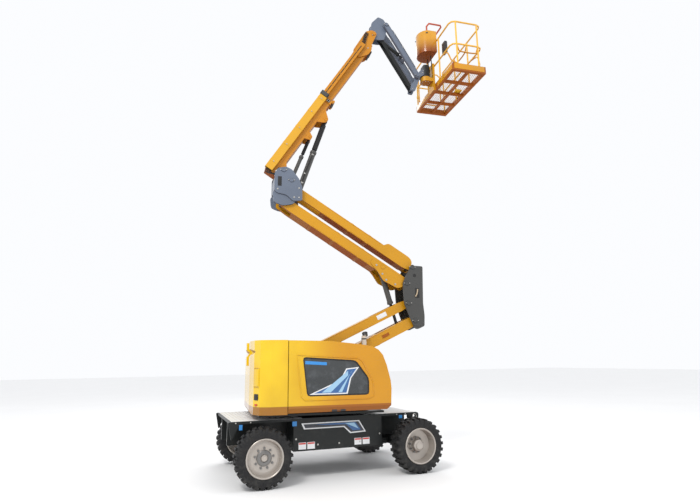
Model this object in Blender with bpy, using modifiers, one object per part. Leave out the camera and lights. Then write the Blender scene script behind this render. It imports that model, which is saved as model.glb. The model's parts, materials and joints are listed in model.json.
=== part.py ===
"""Articulating boom lift: a self-propelled chassis, a slewing turret, two folding risers, a telescopic boom,
a jib and a work platform.

Units are metres, +Z is up. The origin lies on the ground, midway between the axles. +X points to the end over
which the boom reaches, -Y is the near side. Everything above the chassis is modelled in the turret's own frame,
which is turned about +Z by TURRET_SWING, and every linkage piece in the frame of its own lower pin.
"""

import math

import bmesh
import bpy
from mathutils import Matrix, Vector

# ---------------------------------------------------------------- shared clearances
TOUCH = 0.0003          # between pieces that rest on each other
RUN = 0.0005            # between a pin and its bore
SIDE = 0.008            # between the cheeks of a joint
ROUND = 16              # sides of a pin, a bore or a small tube

# ---------------------------------------------------------------- chassis and wheels
WHEELBASE = 2.50
TYRE_R = 0.42
TYRE_W = 0.30
TYRE_OUTER_Y = 1.16
BEAD_R = 0.262
KINGPIN_Y = 0.80
KINGPIN_R = 0.022
CHASSIS_Y = 0.78
CHASSIS_BOTTOM = 0.42
CHASSIS_TOP = 0.90
CHASSIS_BAY_X = 0.74
STEER_END_X = 1.70
DRIVE_END_X = 1.40
PLATE = 0.015
DECK_PLATE = 0.035

# ---------------------------------------------------------------- turret
TURRET_SWING = -6.0
DECK_BOTTOM = 0.955
DECK_T = 0.03
SLEW_R = 0.42
HOOD_BOTTOM = 1.00
HOOD_SIDE_Y = 1.09
HOOD_INNER_Y = 0.345
HOOD_REAR_X = -0.775
HOOD_FRONT_X = 0.87
HOOD_TOP_REAR = 2.085
HOOD_WALL = 0.018
COWL_REAR_X = -1.32
COWL_FRONT_X = -0.785
COWL_NOTCH_Y = 0.31
COWL_NOTCH_Z = 1.70
COWL_FRONT_NOTCH_X = -1.04
CHANNEL_Y = 0.31
HINGE_R = 0.011
HINGE_Z = 2.00

# ---------------------------------------------------------------- lower riser
LOWER_ROOT = (-0.665, 1.347)     # main link's pin on the turret
LOWER_LENGTH = 2.60
LOWER_ANGLE = 25.6
LOWER_TIE_OFFSET = (-0.12, 0.32)
MAIN_Y = 0.17                    # half width of a main link
TIE_Y = 0.135                    # half width of a tie link
MAIN_DEPTH = 0.19
TIE_DEPTH = 0.165
WALL = 0.012
PIN_R = 0.03

# ---------------------------------------------------------------- upright and upper riser
UPPER_ROOT = (-0.14, 0.69)       # upper main link's pin, from the lower main link's pin
UPPER_TIE_OFFSET = (0.12, 0.31)
UPPER_LENGTH = 2.75
UPPER_ANGLE = 32.0
UPRIGHT_IN_Y = 0.205
UPRIGHT_OUT_Y = 0.23

# ---------------------------------------------------------------- upper knuckle and main boom
KNUCKLE_IN_Y = 0.215
KNUCKLE_OUT_Y = 0.24
BOOM_ROOT = (0.002, 0.573)       # boom pin, from the upper main link's pin
BOOM_ANGLE = 57.0
BASE_Y = 0.13
BASE_LOW = 0.055
BASE_HIGH = 0.30
BASE_REAR = -0.13
BASE_FRONT = 1.80
BASE_WALL = 0.010
FLY_Y = 0.105
FLY_LOW = 0.075
FLY_HIGH = 0.28
FLY_REAR = 1.10
FLY_FRONT = 3.45
FLY_WALL = 0.008
TROUGH_OUT_Y = 0.207
TROUGH_LOW = 0.165
TROUGH_HIGH = 0.315

# ---------------------------------------------------------------- cylinders: pins, barrels and rods
LIFT_BASE = (0.272, 0.113)       # on the knuckle, from the upper main link's pin
LIFT_HEAD = (1.411, -0.061)      # on the boom, along and above it
LIFT_BARREL = 1.02
LIFT_BARREL_R = 0.055
LIFT_ROD = 0.94
LIFT_ROD_R = 0.032
LEVEL_BASE = (0.147, 0.388)
LEVEL_HEAD = (0.907, -0.018)
LEVEL_BARREL = 0.62
LEVEL_BARREL_R = 0.035
LEVEL_ROD = 0.54
LEVEL_ROD_R = 0.018
TOWER_HEAD = (0.54, 0.025)       # on the upper main link, along it and above it
TOWER_FOOT = (0.30, -0.02)       # on the lower main link, back from its upper pin and above it
TOWER_BARREL = 0.70
TOWER_BARREL_R = 0.05
TOWER_ROD = 0.88
TOWER_ROD_R = 0.028
EYE_Y = 0.03
EYE_GAP = 0.006

# ---------------------------------------------------------------- jib
JIB_HEAD = (3.694, 0.205)        # jib knuckle's pin on the boom, along it and above it
JIB_ROOT = (0.273, 0.232)        # jib arm's pin, from the jib knuckle's pin
JIB_ANGLE = -58.5
JIB_LENGTH = 1.257
JIB_TIE_OFFSET = (-0.10, -0.27)
JIB_IN_Y = 0.10
JIB_OUT_Y = 0.16
JIB_DEPTH = 0.11
JIB_CHEEK_IN_Y = 0.067
JIB_CHEEK_OUT_Y = 0.09
STRAP_IN_Y = 0.042
STRAP_OUT_Y = 0.06
STRAP_DEPTH = 0.05
JIB_CYL_AT = 0.70
JIB_BARREL = 0.50
JIB_BARREL_R = 0.034
JIB_ROD = 0.50
JIB_ROD_R = 0.018
JIB_PIN_R = 0.022

# ---------------------------------------------------------------- platform, from the jib arm's lower pin
ROTATOR_X = 0.245
ROTATOR_R = 0.10
ROTATOR_LOW = 0.045
ROTATOR_HIGH = 0.32
FLOOR_DROP = 0.255               # floor frame's underside below the jib arm's lower pin
FLOOR_T = 0.06
TOE_H = 0.15
PLATFORM_GAP = 0.175             # rotator's axis to the platform's edge
PLATFORM_W = 0.72
PLATFORM_L = 1.83
RAIL_H = 1.10
MID_RAIL_H = 0.60
GATE_OUT = 0.042
RAIL_R = 0.017
RAIL_INSET = 0.028

MODEL = "articulating_boom_lift"
CUTTERS = "cutters"

ORANGE = ((0.83, 0.42, 0.03), 0.38, 0.0)
GREY = ((0.16, 0.18, 0.20), 0.5, 0.0)
DARK = ((0.045, 0.05, 0.05), 0.55, 0.0)
RUBBER = ((0.03, 0.03, 0.032), 0.85, 0.0)
SILVER = ((0.55, 0.53, 0.50), 0.35, 0.6)
STEEL = ((0.60, 0.60, 0.60), 0.25, 0.9)
GLASSY = ((0.05, 0.06, 0.06), 0.15, 0.0)
BLUE_GREY = ((0.20, 0.24, 0.28), 0.45, 0.0)


# ================================================================ scene and placing
def clear_scene():
    """Removes every object and collection, and makes the two collections used here."""
    for obj in list(bpy.data.objects):
        bpy.data.objects.remove(obj, do_unlink=True)
    for group in list(bpy.data.collections):
        bpy.data.collections.remove(group)
    for name in (MODEL, CUTTERS):
        bpy.context.scene.collection.children.link(bpy.data.collections.new(name))


def finish(name, look):
    """A Principled material with the piece's colour, roughness and metallic value."""
    colour, roughness, metallic = look
    material = bpy.data.materials.new(name)
    material.use_nodes = True
    shader = material.node_tree.nodes["Principled BSDF"]
    shader.inputs["Base Color"].default_value = (*colour, 1.0)
    shader.inputs["Roughness"].default_value = roughness
    shader.inputs["Metallic"].default_value = metallic
    return material


def frame(name, parent=None, at=(0.0, 0.0, 0.0), turn=(0.0, 0.0, 0.0)):
    """An empty that carries the pieces of one moving body; angles are in degrees."""
    empty = bpy.data.objects.new(name, None)
    bpy.data.collections[MODEL].objects.link(empty)
    empty.parent = parent
    empty.location = at
    empty.rotation_euler = [math.radians(a) for a in turn]
    empty.empty_display_size = 0.1
    return empty


def node(obj, name, parent, look):
    """Names a finished piece, gives it its material and hangs it on its frame."""
    obj.name = name
    obj.data.name = name
    obj.data.materials.clear()
    obj.data.materials.append(finish(name, look))
    obj.parent = parent
    for tool in obj.get("tools", "").split():
        bpy.data.objects[tool].parent = parent
    return obj


def mesh_object(mesh):
    """A new object of the model for this mesh."""
    obj = bpy.data.objects.new("piece", mesh)
    bpy.data.collections[MODEL].objects.link(obj)
    return obj


def from_bmesh(bm):
    """A new object for a bmesh, with smooth faces and sharp edges."""
    mesh = bpy.data.meshes.new("piece")
    bm.to_mesh(mesh)
    bm.free()
    mesh.shade_smooth()
    mesh.set_sharp_from_angle(angle=math.radians(35))
    return mesh_object(mesh)


# ================================================================ shapes
def box(x, y, z):
    """A box between two values on each axis."""
    bm = bmesh.new()
    size = Vector((x[1] - x[0], y[1] - y[0], z[1] - z[0]))
    middle = Vector((x[1] + x[0], y[1] + y[0], z[1] + z[0])) / 2
    bmesh.ops.create_cube(bm, size=1.0, matrix=Matrix.LocRotScale(middle, None, size))
    return from_bmesh(bm)


def rod(start, end, radius, sides=ROUND, end_radius=None):
    """A round bar, or a cone, from one point to another."""
    start, end = Vector(start), Vector(end)
    along = end - start
    turn = along.to_track_quat("Z", "Y").to_matrix().to_4x4()
    bm = bmesh.new()
    bmesh.ops.create_cone(
        bm,
        cap_ends=True,
        segments=sides,
        radius1=radius,
        radius2=radius if end_radius is None else end_radius,
        depth=along.length,
        matrix=Matrix.Translation((start + end) / 2) @ turn,
    )
    return from_bmesh(bm)


def cross(at, radius, half):
    """A round bar across the machine, through a point given by its X and Z."""
    return rod((at[0], -half, at[1]), (at[0], half, at[1]), radius)


def bore(at, pin_radius, half):
    """The cutter that leaves a running fit round a pin across the machine."""
    return cross(at, (pin_radius + RUN) / math.cos(math.pi / ROUND), half)


def arc(centre, radius, start, stop, steps=6):
    """Points on an arc, from one angle to another in degrees."""
    angles = [math.radians(start + (stop - start) * i / steps) for i in range(steps + 1)]
    return [(centre[0] + radius * math.cos(a), centre[1] + radius * math.sin(a)) for a in angles]


def rounded(points, radius, steps=2):
    """The outline with each corner replaced by an arc of about this radius."""
    count = len(points)
    result = []
    for i in range(count):
        before, here, after = (Vector(points[(i + k) % count]) for k in (-1, 0, 1))
        to_before, to_after = before - here, after - here
        reach = min(radius, 0.45 * to_before.length, 0.45 * to_after.length)
        first = here + to_before.normalized() * reach
        last = here + to_after.normalized() * reach
        for k in range(steps + 1):
            t = k / steps
            point = first * (1 - t) ** 2 + here * 2 * t * (1 - t) + last * t**2
            result.append((point.x, point.y))
    return result


def capsule(start, end, half_start, half_end):
    """The outline of a link: round ends on two pins, straight edges between."""
    return arc(start, half_start, 270, 90) + arc(end, half_end, 90, -90)


def flat(outline, low, high, axes="XZ"):
    """A plate of this outline, between two values on the third axis."""
    curve = bpy.data.curves.new("piece", "CURVE")
    curve.dimensions = "2D"
    curve.fill_mode = "BOTH"
    curve.extrude = (high - low) / 2
    spline = curve.splines.new("POLY")
    spline.points.add(len(outline) - 1)
    for point, (u, v) in zip(spline.points, outline):
        point.co = (u, v, 0, 1)
    spline.use_cyclic_u = True
    middle = (low + high) / 2
    place = {
        "XZ": Matrix(((1, 0, 0, 0), (0, 0, -1, middle), (0, 1, 0, 0), (0, 0, 0, 1))),
        "XY": Matrix(((1, 0, 0, 0), (0, 1, 0, 0), (0, 0, 1, middle), (0, 0, 0, 1))),
        "YZ": Matrix(((0, 0, 1, middle), (1, 0, 0, 0), (0, 1, 0, 0), (0, 0, 0, 1))),
    }[axes]
    return as_mesh(curve, place)


def tube(points, radius, sides=2, cyclic=False):
    """A round tube along a line of points."""
    curve = bpy.data.curves.new("piece", "CURVE")
    curve.dimensions = "3D"
    curve.bevel_depth = radius
    curve.bevel_resolution = sides
    curve.use_fill_caps = True
    spline = curve.splines.new("POLY")
    spline.points.add(len(points) - 1)
    for point, co in zip(spline.points, points):
        point.co = (*co, 1)
    spline.use_cyclic_u = cyclic
    return as_mesh(curve, Matrix.Identity(4))


def as_mesh(curve, place):
    """Makes a curve a closed mesh object, with its place in its points."""
    obj = bpy.data.objects.new("curve", curve)
    bpy.context.scene.collection.objects.link(obj)
    graph = bpy.context.evaluated_depsgraph_get()
    mesh = bpy.data.meshes.new_from_object(obj.evaluated_get(graph))
    bpy.data.objects.remove(obj, do_unlink=True)
    bm = bmesh.new()
    bm.from_mesh(mesh)
    bpy.data.meshes.remove(mesh)
    bmesh.ops.remove_doubles(bm, verts=bm.verts, dist=0.00005)
    bmesh.ops.transform(bm, matrix=place, verts=bm.verts)
    bmesh.ops.recalc_face_normals(bm, faces=bm.faces)
    return from_bmesh(bm)


def turned(profile, steps=24, closed=False):
    """A shape turned about Z from (radius, height) points that run down its outer side."""
    mesh = bpy.data.meshes.new("piece")
    bm = bmesh.new()
    verts = [bm.verts.new((radius, 0, height)) for radius, height in profile]
    for first, second in zip(verts, verts[1:]):
        bm.edges.new((first, second))
    if closed:
        bm.edges.new((verts[-1], verts[0]))
    bm.to_mesh(mesh)
    bm.free()
    obj = mesh_object(mesh)
    screw = obj.modifiers.new("turn", "SCREW")
    screw.axis = "Z"
    screw.steps = steps
    screw.render_steps = steps
    screw.use_merge_vertices = True
    screw.merge_threshold = 0.0001
    return obj


# ================================================================ joining and cutting
def tool(base, other, operation):
    """Adds one Boolean with a hidden tool object to a piece."""
    for group in list(other.users_collection):
        group.objects.unlink(other)
    bpy.data.collections[CUTTERS].objects.link(other)
    other.name = "tool"
    other.hide_render = True
    other.display_type = "WIRE"
    base["tools"] = base.get("tools", "") + " " + other.name
    for inner in other.get("tools", "").split():
        base["tools"] = base["tools"] + " " + inner
    modifier = base.modifiers.new(operation.lower(), "BOOLEAN")
    modifier.operation = operation
    modifier.solver = "EXACT"
    modifier.object = other


def join(base, *others):
    """Joins pieces to the first one as one solid."""
    for other in others:
        tool(base, other, "UNION")
    return base


def cut(base, *others):
    """Cuts the tools out of a piece."""
    for other in others:
        tool(base, other, "DIFFERENCE")
    return base


def both_sides(make, inner, outer):
    """Makes the same plate on the near and the far side."""
    return [make(-outer, -inner), make(inner, outer)]


# ================================================================ chassis
def chassis(root):
    """The welded frame: a bay between the axles, end decks over the wheels and rails down to the axles."""
    x_bay, y, low, high = CHASSIS_BAY_X, CHASSIS_Y, CHASSIS_BOTTOM, CHASSIS_TOP
    under_deck = high - DECK_PLATE
    body = box((-STEER_END_X, DRIVE_END_X), (-y, y), (under_deck, high))
    bay = box((-x_bay, x_bay), (-y, y), (low, high - DECK_PLATE / 2))
    inside = (-x_bay + PLATE, x_bay - PLATE)
    cut(bay, box(inside, (-y + PLATE, y - PLATE), (low - PLATE, under_deck - PLATE)))
    rails = []
    axle_top = TYRE_R + 0.09
    for side in (-1, 1):
        rail_y = sorted((side * 0.30, side * 0.345))
        rails.append(box((-STEER_END_X + 0.02, DRIVE_END_X - 0.02), rail_y, (axle_top + TOUCH, under_deck + 0.01)))
        rails.append(end_gusset(side))
        rails.append(tie_down(side))
    return node(join(body, bay, *rails), "chassis_frame", root, DARK)


def end_gusset(side):
    """The tapered plate that closes the side at the steered end."""
    outline = [(-STEER_END_X - 0.03, CHASSIS_TOP - 0.002), (-1.54, CHASSIS_TOP - 0.002), (-1.68, 0.63)]
    low, high = sorted((side * (CHASSIS_Y - PLATE), side * (CHASSIS_Y - 0.001)))
    return flat(rounded(outline, 0.02), low, high)


def tie_down(side):
    """The lashing eye at the driven end."""
    outline = rounded([(1.22, 0.80), (1.43, 0.80), (1.43, CHASSIS_TOP - 0.002), (1.22, CHASSIS_TOP - 0.002)], 0.03)
    low, high = sorted((side * (CHASSIS_Y - 0.03), side * (CHASSIS_Y - 0.001)))
    return cut(flat(outline, low, high), cross((1.345, 0.845), 0.022, CHASSIS_Y + 0.05))


def axles(root):
    """The steered axle with its kingpins, and the driven axle with its hub drives."""
    x_steer, x_drive, z = -WHEELBASE / 2, WHEELBASE / 2, TYRE_R
    beam = box((x_steer - 0.07, x_steer + 0.07), (-0.72, 0.72), (z - 0.07, z + 0.09))
    parts = []
    for side in (-1, 1):
        for low, high in ((z + 0.062, z + 0.088), (z - 0.068, z - 0.042)):
            ends = sorted((side * 0.66, side * KINGPIN_Y))
            parts.append(box((x_steer - 0.048, x_steer + 0.048), ends, (low, high)))
            parts.append(rod((x_steer, side * KINGPIN_Y, low), (x_steer, side * KINGPIN_Y, high), 0.048))
        pin_ends = (z - 0.055, z + 0.075)
        parts.append(rod(*[(x_steer, side * KINGPIN_Y, e) for e in pin_ends], KINGPIN_R))
    node(join(beam, *parts), "steer_axle", root, DARK)

    beam = box((x_drive - 0.09, x_drive + 0.09), (-0.62, 0.62), (z - 0.09, z + 0.09))
    drives = []
    for side in (-1, 1):
        drives.append(rod((x_drive, side * 0.55, z), (x_drive, side * 0.90, z), 0.125))
        drives.append(rod((x_drive, side * 0.885, z), (x_drive, side * (wheel_centre() - 0.0605), z), 0.10))
    drives.append(rod((x_drive, 0, z), (x_drive - 0.22, 0, z), 0.11))
    node(join(beam, *drives), "drive_axle", root, DARK)


def wheel_centre():
    """The tyre's middle plane, out from the centre line."""
    return TYRE_OUTER_Y - TYRE_W / 2


def steer_knuckle(parent, side, name):
    """The swivelling block between the axle's forks, with the wheel spindle."""
    gap = 0.004
    low, high = TYRE_R - 0.042 + gap, TYRE_R + 0.062 - gap
    block = rod((0, 0, low), (0, 0, high), 0.046)
    out = wheel_centre() - KINGPIN_Y + 0.030 - TOUCH
    spindle = rod((0, side * 0.02, TYRE_R), (0, side * out, TYRE_R), 0.036)
    join(block, spindle)
    hole = (KINGPIN_R + RUN) / math.cos(math.pi / ROUND)
    cut(block, rod((0, 0, low - 0.05), (0, 0, high + 0.05), hole))
    node(block, name, parent, DARK)


def wheel(parent, side, kind):
    """One wheel: a pressed rim and its tyre, turned about the axle line."""
    half = TYRE_W / 2
    bead = BEAD_R
    tyre = [
        (bead + TOUCH, 0.125), (0.33, half), (0.40, 0.14), (TYRE_R, 0.105), (TYRE_R, -0.105), (0.40, -0.14),
        (0.33, -half), (bead + TOUCH, -0.125),
    ]
    lip = bead + 0.012
    flange = [(lip, 0.146), (lip, 0.138), (bead, 0.128), (bead, -0.128), (lip, -0.146)]
    inside = [(bead - 0.006, -0.146), (bead - 0.012, -0.11)]
    if kind == "steer":
        face = [(0.0, 0.092), (0.045, 0.088), (0.05, 0.066), (0.10, 0.066)]
        face += [(0.19, 0.085), (0.243, 0.075), (0.252, 0.146)]
        back = [(0.243, 0.062), (0.19, 0.072), (0.10, 0.052), (0.05, 0.052), (0.05, 0.030), (0.0, 0.030)]
    else:
        face = [(0.0, 0.100), (0.05, 0.097), (0.085, 0.075), (0.09, 0.0)]
        face += [(0.13, -0.035), (0.235, -0.020), (0.252, 0.146)]
        back = [(0.243, -0.035), (0.13, -0.050), (0.10, -0.060), (0.0, -0.060)]
    end = "near" if side < 0 else "far"
    rim = node(turned(face + flange + inside + back), f"rim_{kind}_{end}", parent, SILVER)
    tyre = node(turned(tyre, closed=True), f"tyre_{kind}_{end}", parent, RUBBER)
    for piece in (rim, tyre):
        piece.rotation_euler = (math.radians(-90 * side), 0, 0)


def running_gear(root):
    """Axles, steering knuckles and the four wheels."""
    axles(root)
    for side, end in ((-1, "near"), (1, "far")):
        x = -WHEELBASE / 2
        steer = frame(f"steer_{end}_frame", root, (x, side * KINGPIN_Y, 0))
        steer_knuckle(steer, side, f"steer_knuckle_{end}")
        out = side * (wheel_centre() - KINGPIN_Y)
        wheel(frame(f"steer_wheel_{end}_frame", steer, (0, out, TYRE_R)), side, "steer")
        at = (WHEELBASE / 2, side * wheel_centre(), TYRE_R)
        wheel(frame(f"drive_wheel_{end}_frame", root, at), side, "drive")


# ================================================================ turret
def turret_base(root, turret):
    """The slewing ring on the chassis, and the turntable deck with its channel walls."""
    ring = rod((0, 0, CHASSIS_TOP + TOUCH), (0, 0, DECK_BOTTOM - RUN), SLEW_R, 40)
    node(ring, "slew_ring", root, GREY)
    top = DECK_BOTTOM + DECK_T
    deck = box((COWL_REAR_X + 0.12, HOOD_FRONT_X - 0.10), (-0.98, 0.98), (DECK_BOTTOM, top))
    walls = []
    for low, high in ((-CHANNEL_Y - 0.012, -CHANNEL_Y), (CHANNEL_Y, CHANNEL_Y + 0.012)):
        rear = HOOD_REAR_X + 0.03
        outline = [(rear, top - 0.01), (0.72, top - 0.01), (0.66, 1.78), (0.48, 1.90), (0.05, HINGE_Z + 0.002)]
        outline.append((rear, HINGE_Z + 0.002))
        walls.append(flat(rounded(outline, 0.03), low, high))
    node(join(deck, *walls), "turntable_deck", turret, DARK)


def turret_tower(turret):
    """The riser's bearing: two cheeks on a foot plate, with the pins of the lower links."""
    foot = DECK_BOTTOM + DECK_T + TOUCH
    root = LOWER_ROOT
    tie = (root[0] + LOWER_TIE_OFFSET[0], root[1] + LOWER_TIE_OFFSET[1])
    outline = [
        (root[0] - 0.29, foot), (root[0] + 0.42, foot), (root[0] + 0.12, root[1] + 0.06),
        (tie[0] + 0.09, tie[1] + 0.09), (tie[0] - 0.09, tie[1] + 0.09), (root[0] - 0.29, root[1]),
    ]
    cheek = rounded(outline, 0.05)
    near, far = both_sides(lambda low, high: flat(cheek, low, high), MAIN_Y + SIDE, MAIN_Y + SIDE + 0.025)
    out = MAIN_Y + SIDE + 0.01
    base = box((root[0] - 0.27, root[0] + 0.38), (-out, out), (foot, foot + 0.03))
    tower = join(near, far, base, cross(root, PIN_R, out + 0.02), cross(tie, PIN_R, out + 0.02))
    node(tower, "turret_tower", turret, GREY)


def hood_section():
    """The hoods' outline from the side: the top slopes to the front, whose end leans back."""
    x, z, top = HOOD_FRONT_X, HOOD_BOTTOM, HOOD_TOP_REAR
    rear = HOOD_REAR_X
    return [
        (rear, z), (x - 0.07, z + 0.01), (x - 0.012, z + 0.07), (x, z + 0.33), (x - 0.01, z + 0.45),
        (x - 0.07, z + 0.69), (x - 0.13, z + 0.85), (x - 0.20, z + 0.93), (x - 0.30, z + 0.985),
        (x - 0.51, top - 0.065), (x - 1.0, top - 0.013), (rear, top),
    ]


def hood(turret, side, name):
    """A lid over one side: a shell open below and towards the boom, hinged along its inner top edge."""
    hinge = hood_hinge(side)
    pivot = frame(f"{name}_frame", turret, hinge)
    inner, outer = sorted((side * HOOD_INNER_Y, side * HOOD_SIDE_Y))
    shell = flat(hood_section(), inner, outer)
    bevel_y = HOOD_SIDE_Y + 0.12
    above = HOOD_TOP_REAR + 0.10
    shoulder = rod((-3, side * bevel_y, above), (3, side * bevel_y, above), 0.2, 4)
    skirt = box((-3, 3), (-0.1, 0.1), (-0.2, 0.2))
    skirt.location = (0, side * (HOOD_SIDE_Y + 0.077), HOOD_BOTTOM)
    skirt.rotation_euler = (side * math.radians(-24), 0, 0)
    cut(shell, shoulder, skirt)
    wall = HOOD_WALL
    inside = sorted((side * (HOOD_INNER_Y - 0.1), side * (HOOD_SIDE_Y - 0.07)))
    hollow = flat(shrunk(hood_section(), wall), *inside)
    cut(shell, hollow)
    cut(shell, window_plate(side, 0.30, 0.0))
    join(shell, *hinge_knuckles(side))
    node(shell, name, pivot, ORANGE)
    pane = window_plate(side, 0.012, TOUCH)
    node(pane, name.replace("hood", "window"), pivot, GLASSY)
    for piece in (shell, pane):
        shift_to(piece, pivot)
    return pivot


def hood_hinge(side):
    """The hinge line of a hood, beside the channel wall's top edge."""
    return (0.0, side * (CHANNEL_Y + 0.012 + HINGE_R + TOUCH), HINGE_Z)


def hinge_knuckles(side):
    """The hood's two hinge barrels, with the lugs that hang them from its top."""
    x, y, z = hood_hinge(side)
    pieces = []
    for start, top in ((-0.65, HOOD_TOP_REAR - 0.012), (-0.15, HOOD_TOP_REAR - 0.025)):
        pieces.append(rod((start, y, z), (start + 0.12, y, z), HINGE_R))
        width = sorted((y, side * (HOOD_INNER_Y + 0.02)))
        pieces.append(box((start + 0.01, start + 0.11), width, (z - 0.005, top)))
    return pieces


def shift_to(piece, pivot):
    """Keeps a piece that was made in the turret's frame in place when it hangs on a pivot."""
    piece.location = Vector(piece.location) - Vector(pivot.location)
    for name in piece.get("tools", "").split():
        other = bpy.data.objects[name]
        other.location = Vector(other.location) - Vector(pivot.location)


def shrunk(outline, wall):
    """The hood's inner outline: a wall inside it at the ends and top, and open below."""
    xs = [p[0] for p in outline]
    zs = [p[1] for p in outline]
    cx, cz = (min(xs) + max(xs)) / 2, (min(zs) + max(zs)) / 2
    kx = 1 - 2 * wall / (max(xs) - min(xs))
    result = []
    for px, pz in outline:
        z = HOOD_BOTTOM - 0.1 if pz < HOOD_BOTTOM + 0.05 else pz - wall
        result.append((cx + (px - cx) * kx, z))
    return result


def window_plate(side, thickness, margin):
    """The side window's plate, at the hood's side face, smaller by a margin all round."""
    left, right, low, high = -0.56 + margin, 0.50 - margin, 1.24 + margin, 1.83 - margin
    outline = [
        (left + 0.07, low), (right, low), (right, low + 0.25), (right - 0.21, high - 0.06), (left, high),
    ]
    face = side * (HOOD_SIDE_Y - 0.012)
    low_y, high_y = sorted((face, face - side * thickness))
    if margin == 0.0:
        low_y, high_y = sorted((side * (HOOD_SIDE_Y + 0.1), face - side * thickness))
    return flat(rounded(outline, 0.05), low_y, high_y)


def counterweight(turret):
    """The cast counterweight: a rounded tail block with a well for the riser and the stowed boom."""
    low, high = DECK_BOTTOM + DECK_T + TOUCH, HOOD_TOP_REAR + 0.005
    front, rear, y = COWL_FRONT_X, COWL_REAR_X, HOOD_SIDE_Y - 0.005
    plan = [(front, -y), (front, y)]
    plan += [(rear + 0.28, y - 0.005), (rear + 0.12, y - 0.06), (rear + 0.04, y - 0.20), (rear, y - 0.55)]
    plan += [(rear, -y + 0.55), (rear + 0.04, -y + 0.20), (rear + 0.12, -y + 0.06), (rear + 0.28, -y + 0.005)]
    block = flat(plan, low, high, "XY")
    top_cut = box((-3, 0), (-3, 3), (0, 0.3))
    top_cut.location = (rear + 0.06, 0, high - 0.17)
    top_cut.rotation_euler = (0, math.radians(-52), 0)
    foot_cut = box((-1, 0), (-3, 3), (-0.3, 0.3))
    foot_cut.location = (rear + 0.02, 0, low)
    foot_cut.rotation_euler = (0, math.radians(-26), 0)
    cut(block, top_cut, foot_cut)
    notch = COWL_NOTCH_Y
    cut(block, box((rear - 0.3, front + 0.3), (-notch, notch), (COWL_NOTCH_Z, high + 0.3)))
    cut(block, box((COWL_FRONT_NOTCH_X, front + 0.3), (-notch, notch), (low - 0.3, high + 0.3)))
    node(block, "counterweight", turret, ORANGE)


def power_pack(turret):
    """The engine as one plain block under the near hood, the tanks under the far one, and the exhaust."""
    top = DECK_BOTTOM + DECK_T + TOUCH
    block = box((-0.55, 0.35), (-0.92, -0.42), (top, 1.70))
    node(block, "engine_block", turret, DARK)
    tanks = box((-0.65, 0.55), (0.42, 0.95), (top, 1.62))
    node(tanks, "tank_block", turret, DARK)
    z0 = top
    y = -0.262
    pipe = tube([(0.66, y, z0), (0.66, y, 2.14), (0.675, y, 2.19), (0.70, y, 2.215)], 0.03, 3)
    node(pipe, "exhaust_pipe", turret, STEEL)


# ================================================================ risers
def link_shell(length, half_y, depth, end_radius):
    """A hollow link: two side walls that carry the pins, with top and bottom walls between."""
    half = depth / 2
    outline = arc((0, 0), end_radius, 250, 110)
    outline += [(end_radius + 0.10, half), (length - end_radius - 0.10, half)]
    outline += arc((length, 0), end_radius, 70, -70)
    outline += [(length - end_radius - 0.10, -half), (end_radius + 0.10, -half)]
    shell = flat(outline, -half_y, half_y)
    inner = box((-1, length + 1), (-half_y + WALL, half_y - WALL), (-half + WALL, half - WALL))
    return cut(shell, inner)


def slot(x, z, half_y):
    """The cutter for a slot in a link's top or bottom wall."""
    return box(x, (-half_y, half_y), z)


def lower_riser(turret):
    """The lower main and tie links, on the turret's tower."""
    at = (LOWER_ROOT[0], 0, LOWER_ROOT[1])
    main_frame = frame("lower_main_frame", turret, at, (0, -LOWER_ANGLE, 0))
    length, half = LOWER_LENGTH, MAIN_DEPTH / 2
    main = link_shell(length, MAIN_Y, MAIN_DEPTH, 0.085)
    foot = (length - TOWER_FOOT[0], TOWER_FOOT[1])
    cut(main, slot((foot[0] - 0.45, length + 0.2), (0, 0.3), MAIN_Y - 0.085))
    cut(main, slot((foot[0] - 0.12, length + 0.2), (-0.3, 0), MAIN_Y - 0.085))
    for low, high in ((-MAIN_Y + 0.004, -EYE_Y - EYE_GAP), (EYE_Y + EYE_GAP, MAIN_Y - 0.004)):
        join(main, rod((foot[0], low, foot[1]), (foot[0], high, foot[1]), 0.035))
    cut(main, bore((0, 0), PIN_R, 1), bore((length, 0), PIN_R, 1))
    node(main, "lower_riser_main", main_frame, ORANGE)

    tie_at = (LOWER_ROOT[0] + LOWER_TIE_OFFSET[0], 0, LOWER_ROOT[1] + LOWER_TIE_OFFSET[1])
    tie_frame = frame("lower_tie_frame", turret, tie_at, (0, -LOWER_ANGLE, 0))
    tie = link_shell(length, TIE_Y, TIE_DEPTH, 0.07)
    cut(tie, slot((length - 0.75, length + 0.2), (-0.3, 0.3), TIE_Y - 0.05))
    cut(tie, bore((0, 0), PIN_R, 1), bore((length, 0), PIN_R, 1))
    node(tie, "lower_riser_tie", tie_frame, ORANGE)
    return main_frame


def upright(lower_main):
    """The upright between the risers: two cheeks, a back plate and four pins; it stays vertical."""
    here = frame("upright_frame", lower_main, (LOWER_LENGTH, 0, 0), (0, LOWER_ANGLE, 0))
    outline = [
        (-0.05, 1.03), (0.19, 1.02), (0.17, 0.32), (0.19, 0.10), (0.18, -0.10), (0.04, -0.16), (-0.02, -0.14),
        (-0.20, 0.30), (-0.22, 0.69), (-0.09, 0.94),
    ]
    cheek = rounded(outline, 0.025)
    near, far = both_sides(lambda low, high: flat(cheek, low, high), UPRIGHT_IN_Y, UPRIGHT_OUT_Y)
    width = UPRIGHT_IN_Y + 0.01
    back = box((0.13, 0.155), (-width, width), (-0.06, 0.96))
    main_2, tie_2 = upper_pins()
    pins = [cross(p, PIN_R, UPRIGHT_OUT_Y + 0.004) for p in ((0, 0), LOWER_TIE_OFFSET, main_2, tie_2)]
    node(join(near, far, back, *pins), "riser_upright", here, GREY)
    return here


def upper_pins():
    """The upper riser's main and tie pins on the upright."""
    return UPPER_ROOT, (UPPER_ROOT[0] + UPPER_TIE_OFFSET[0], UPPER_ROOT[1] + UPPER_TIE_OFFSET[1])


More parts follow.
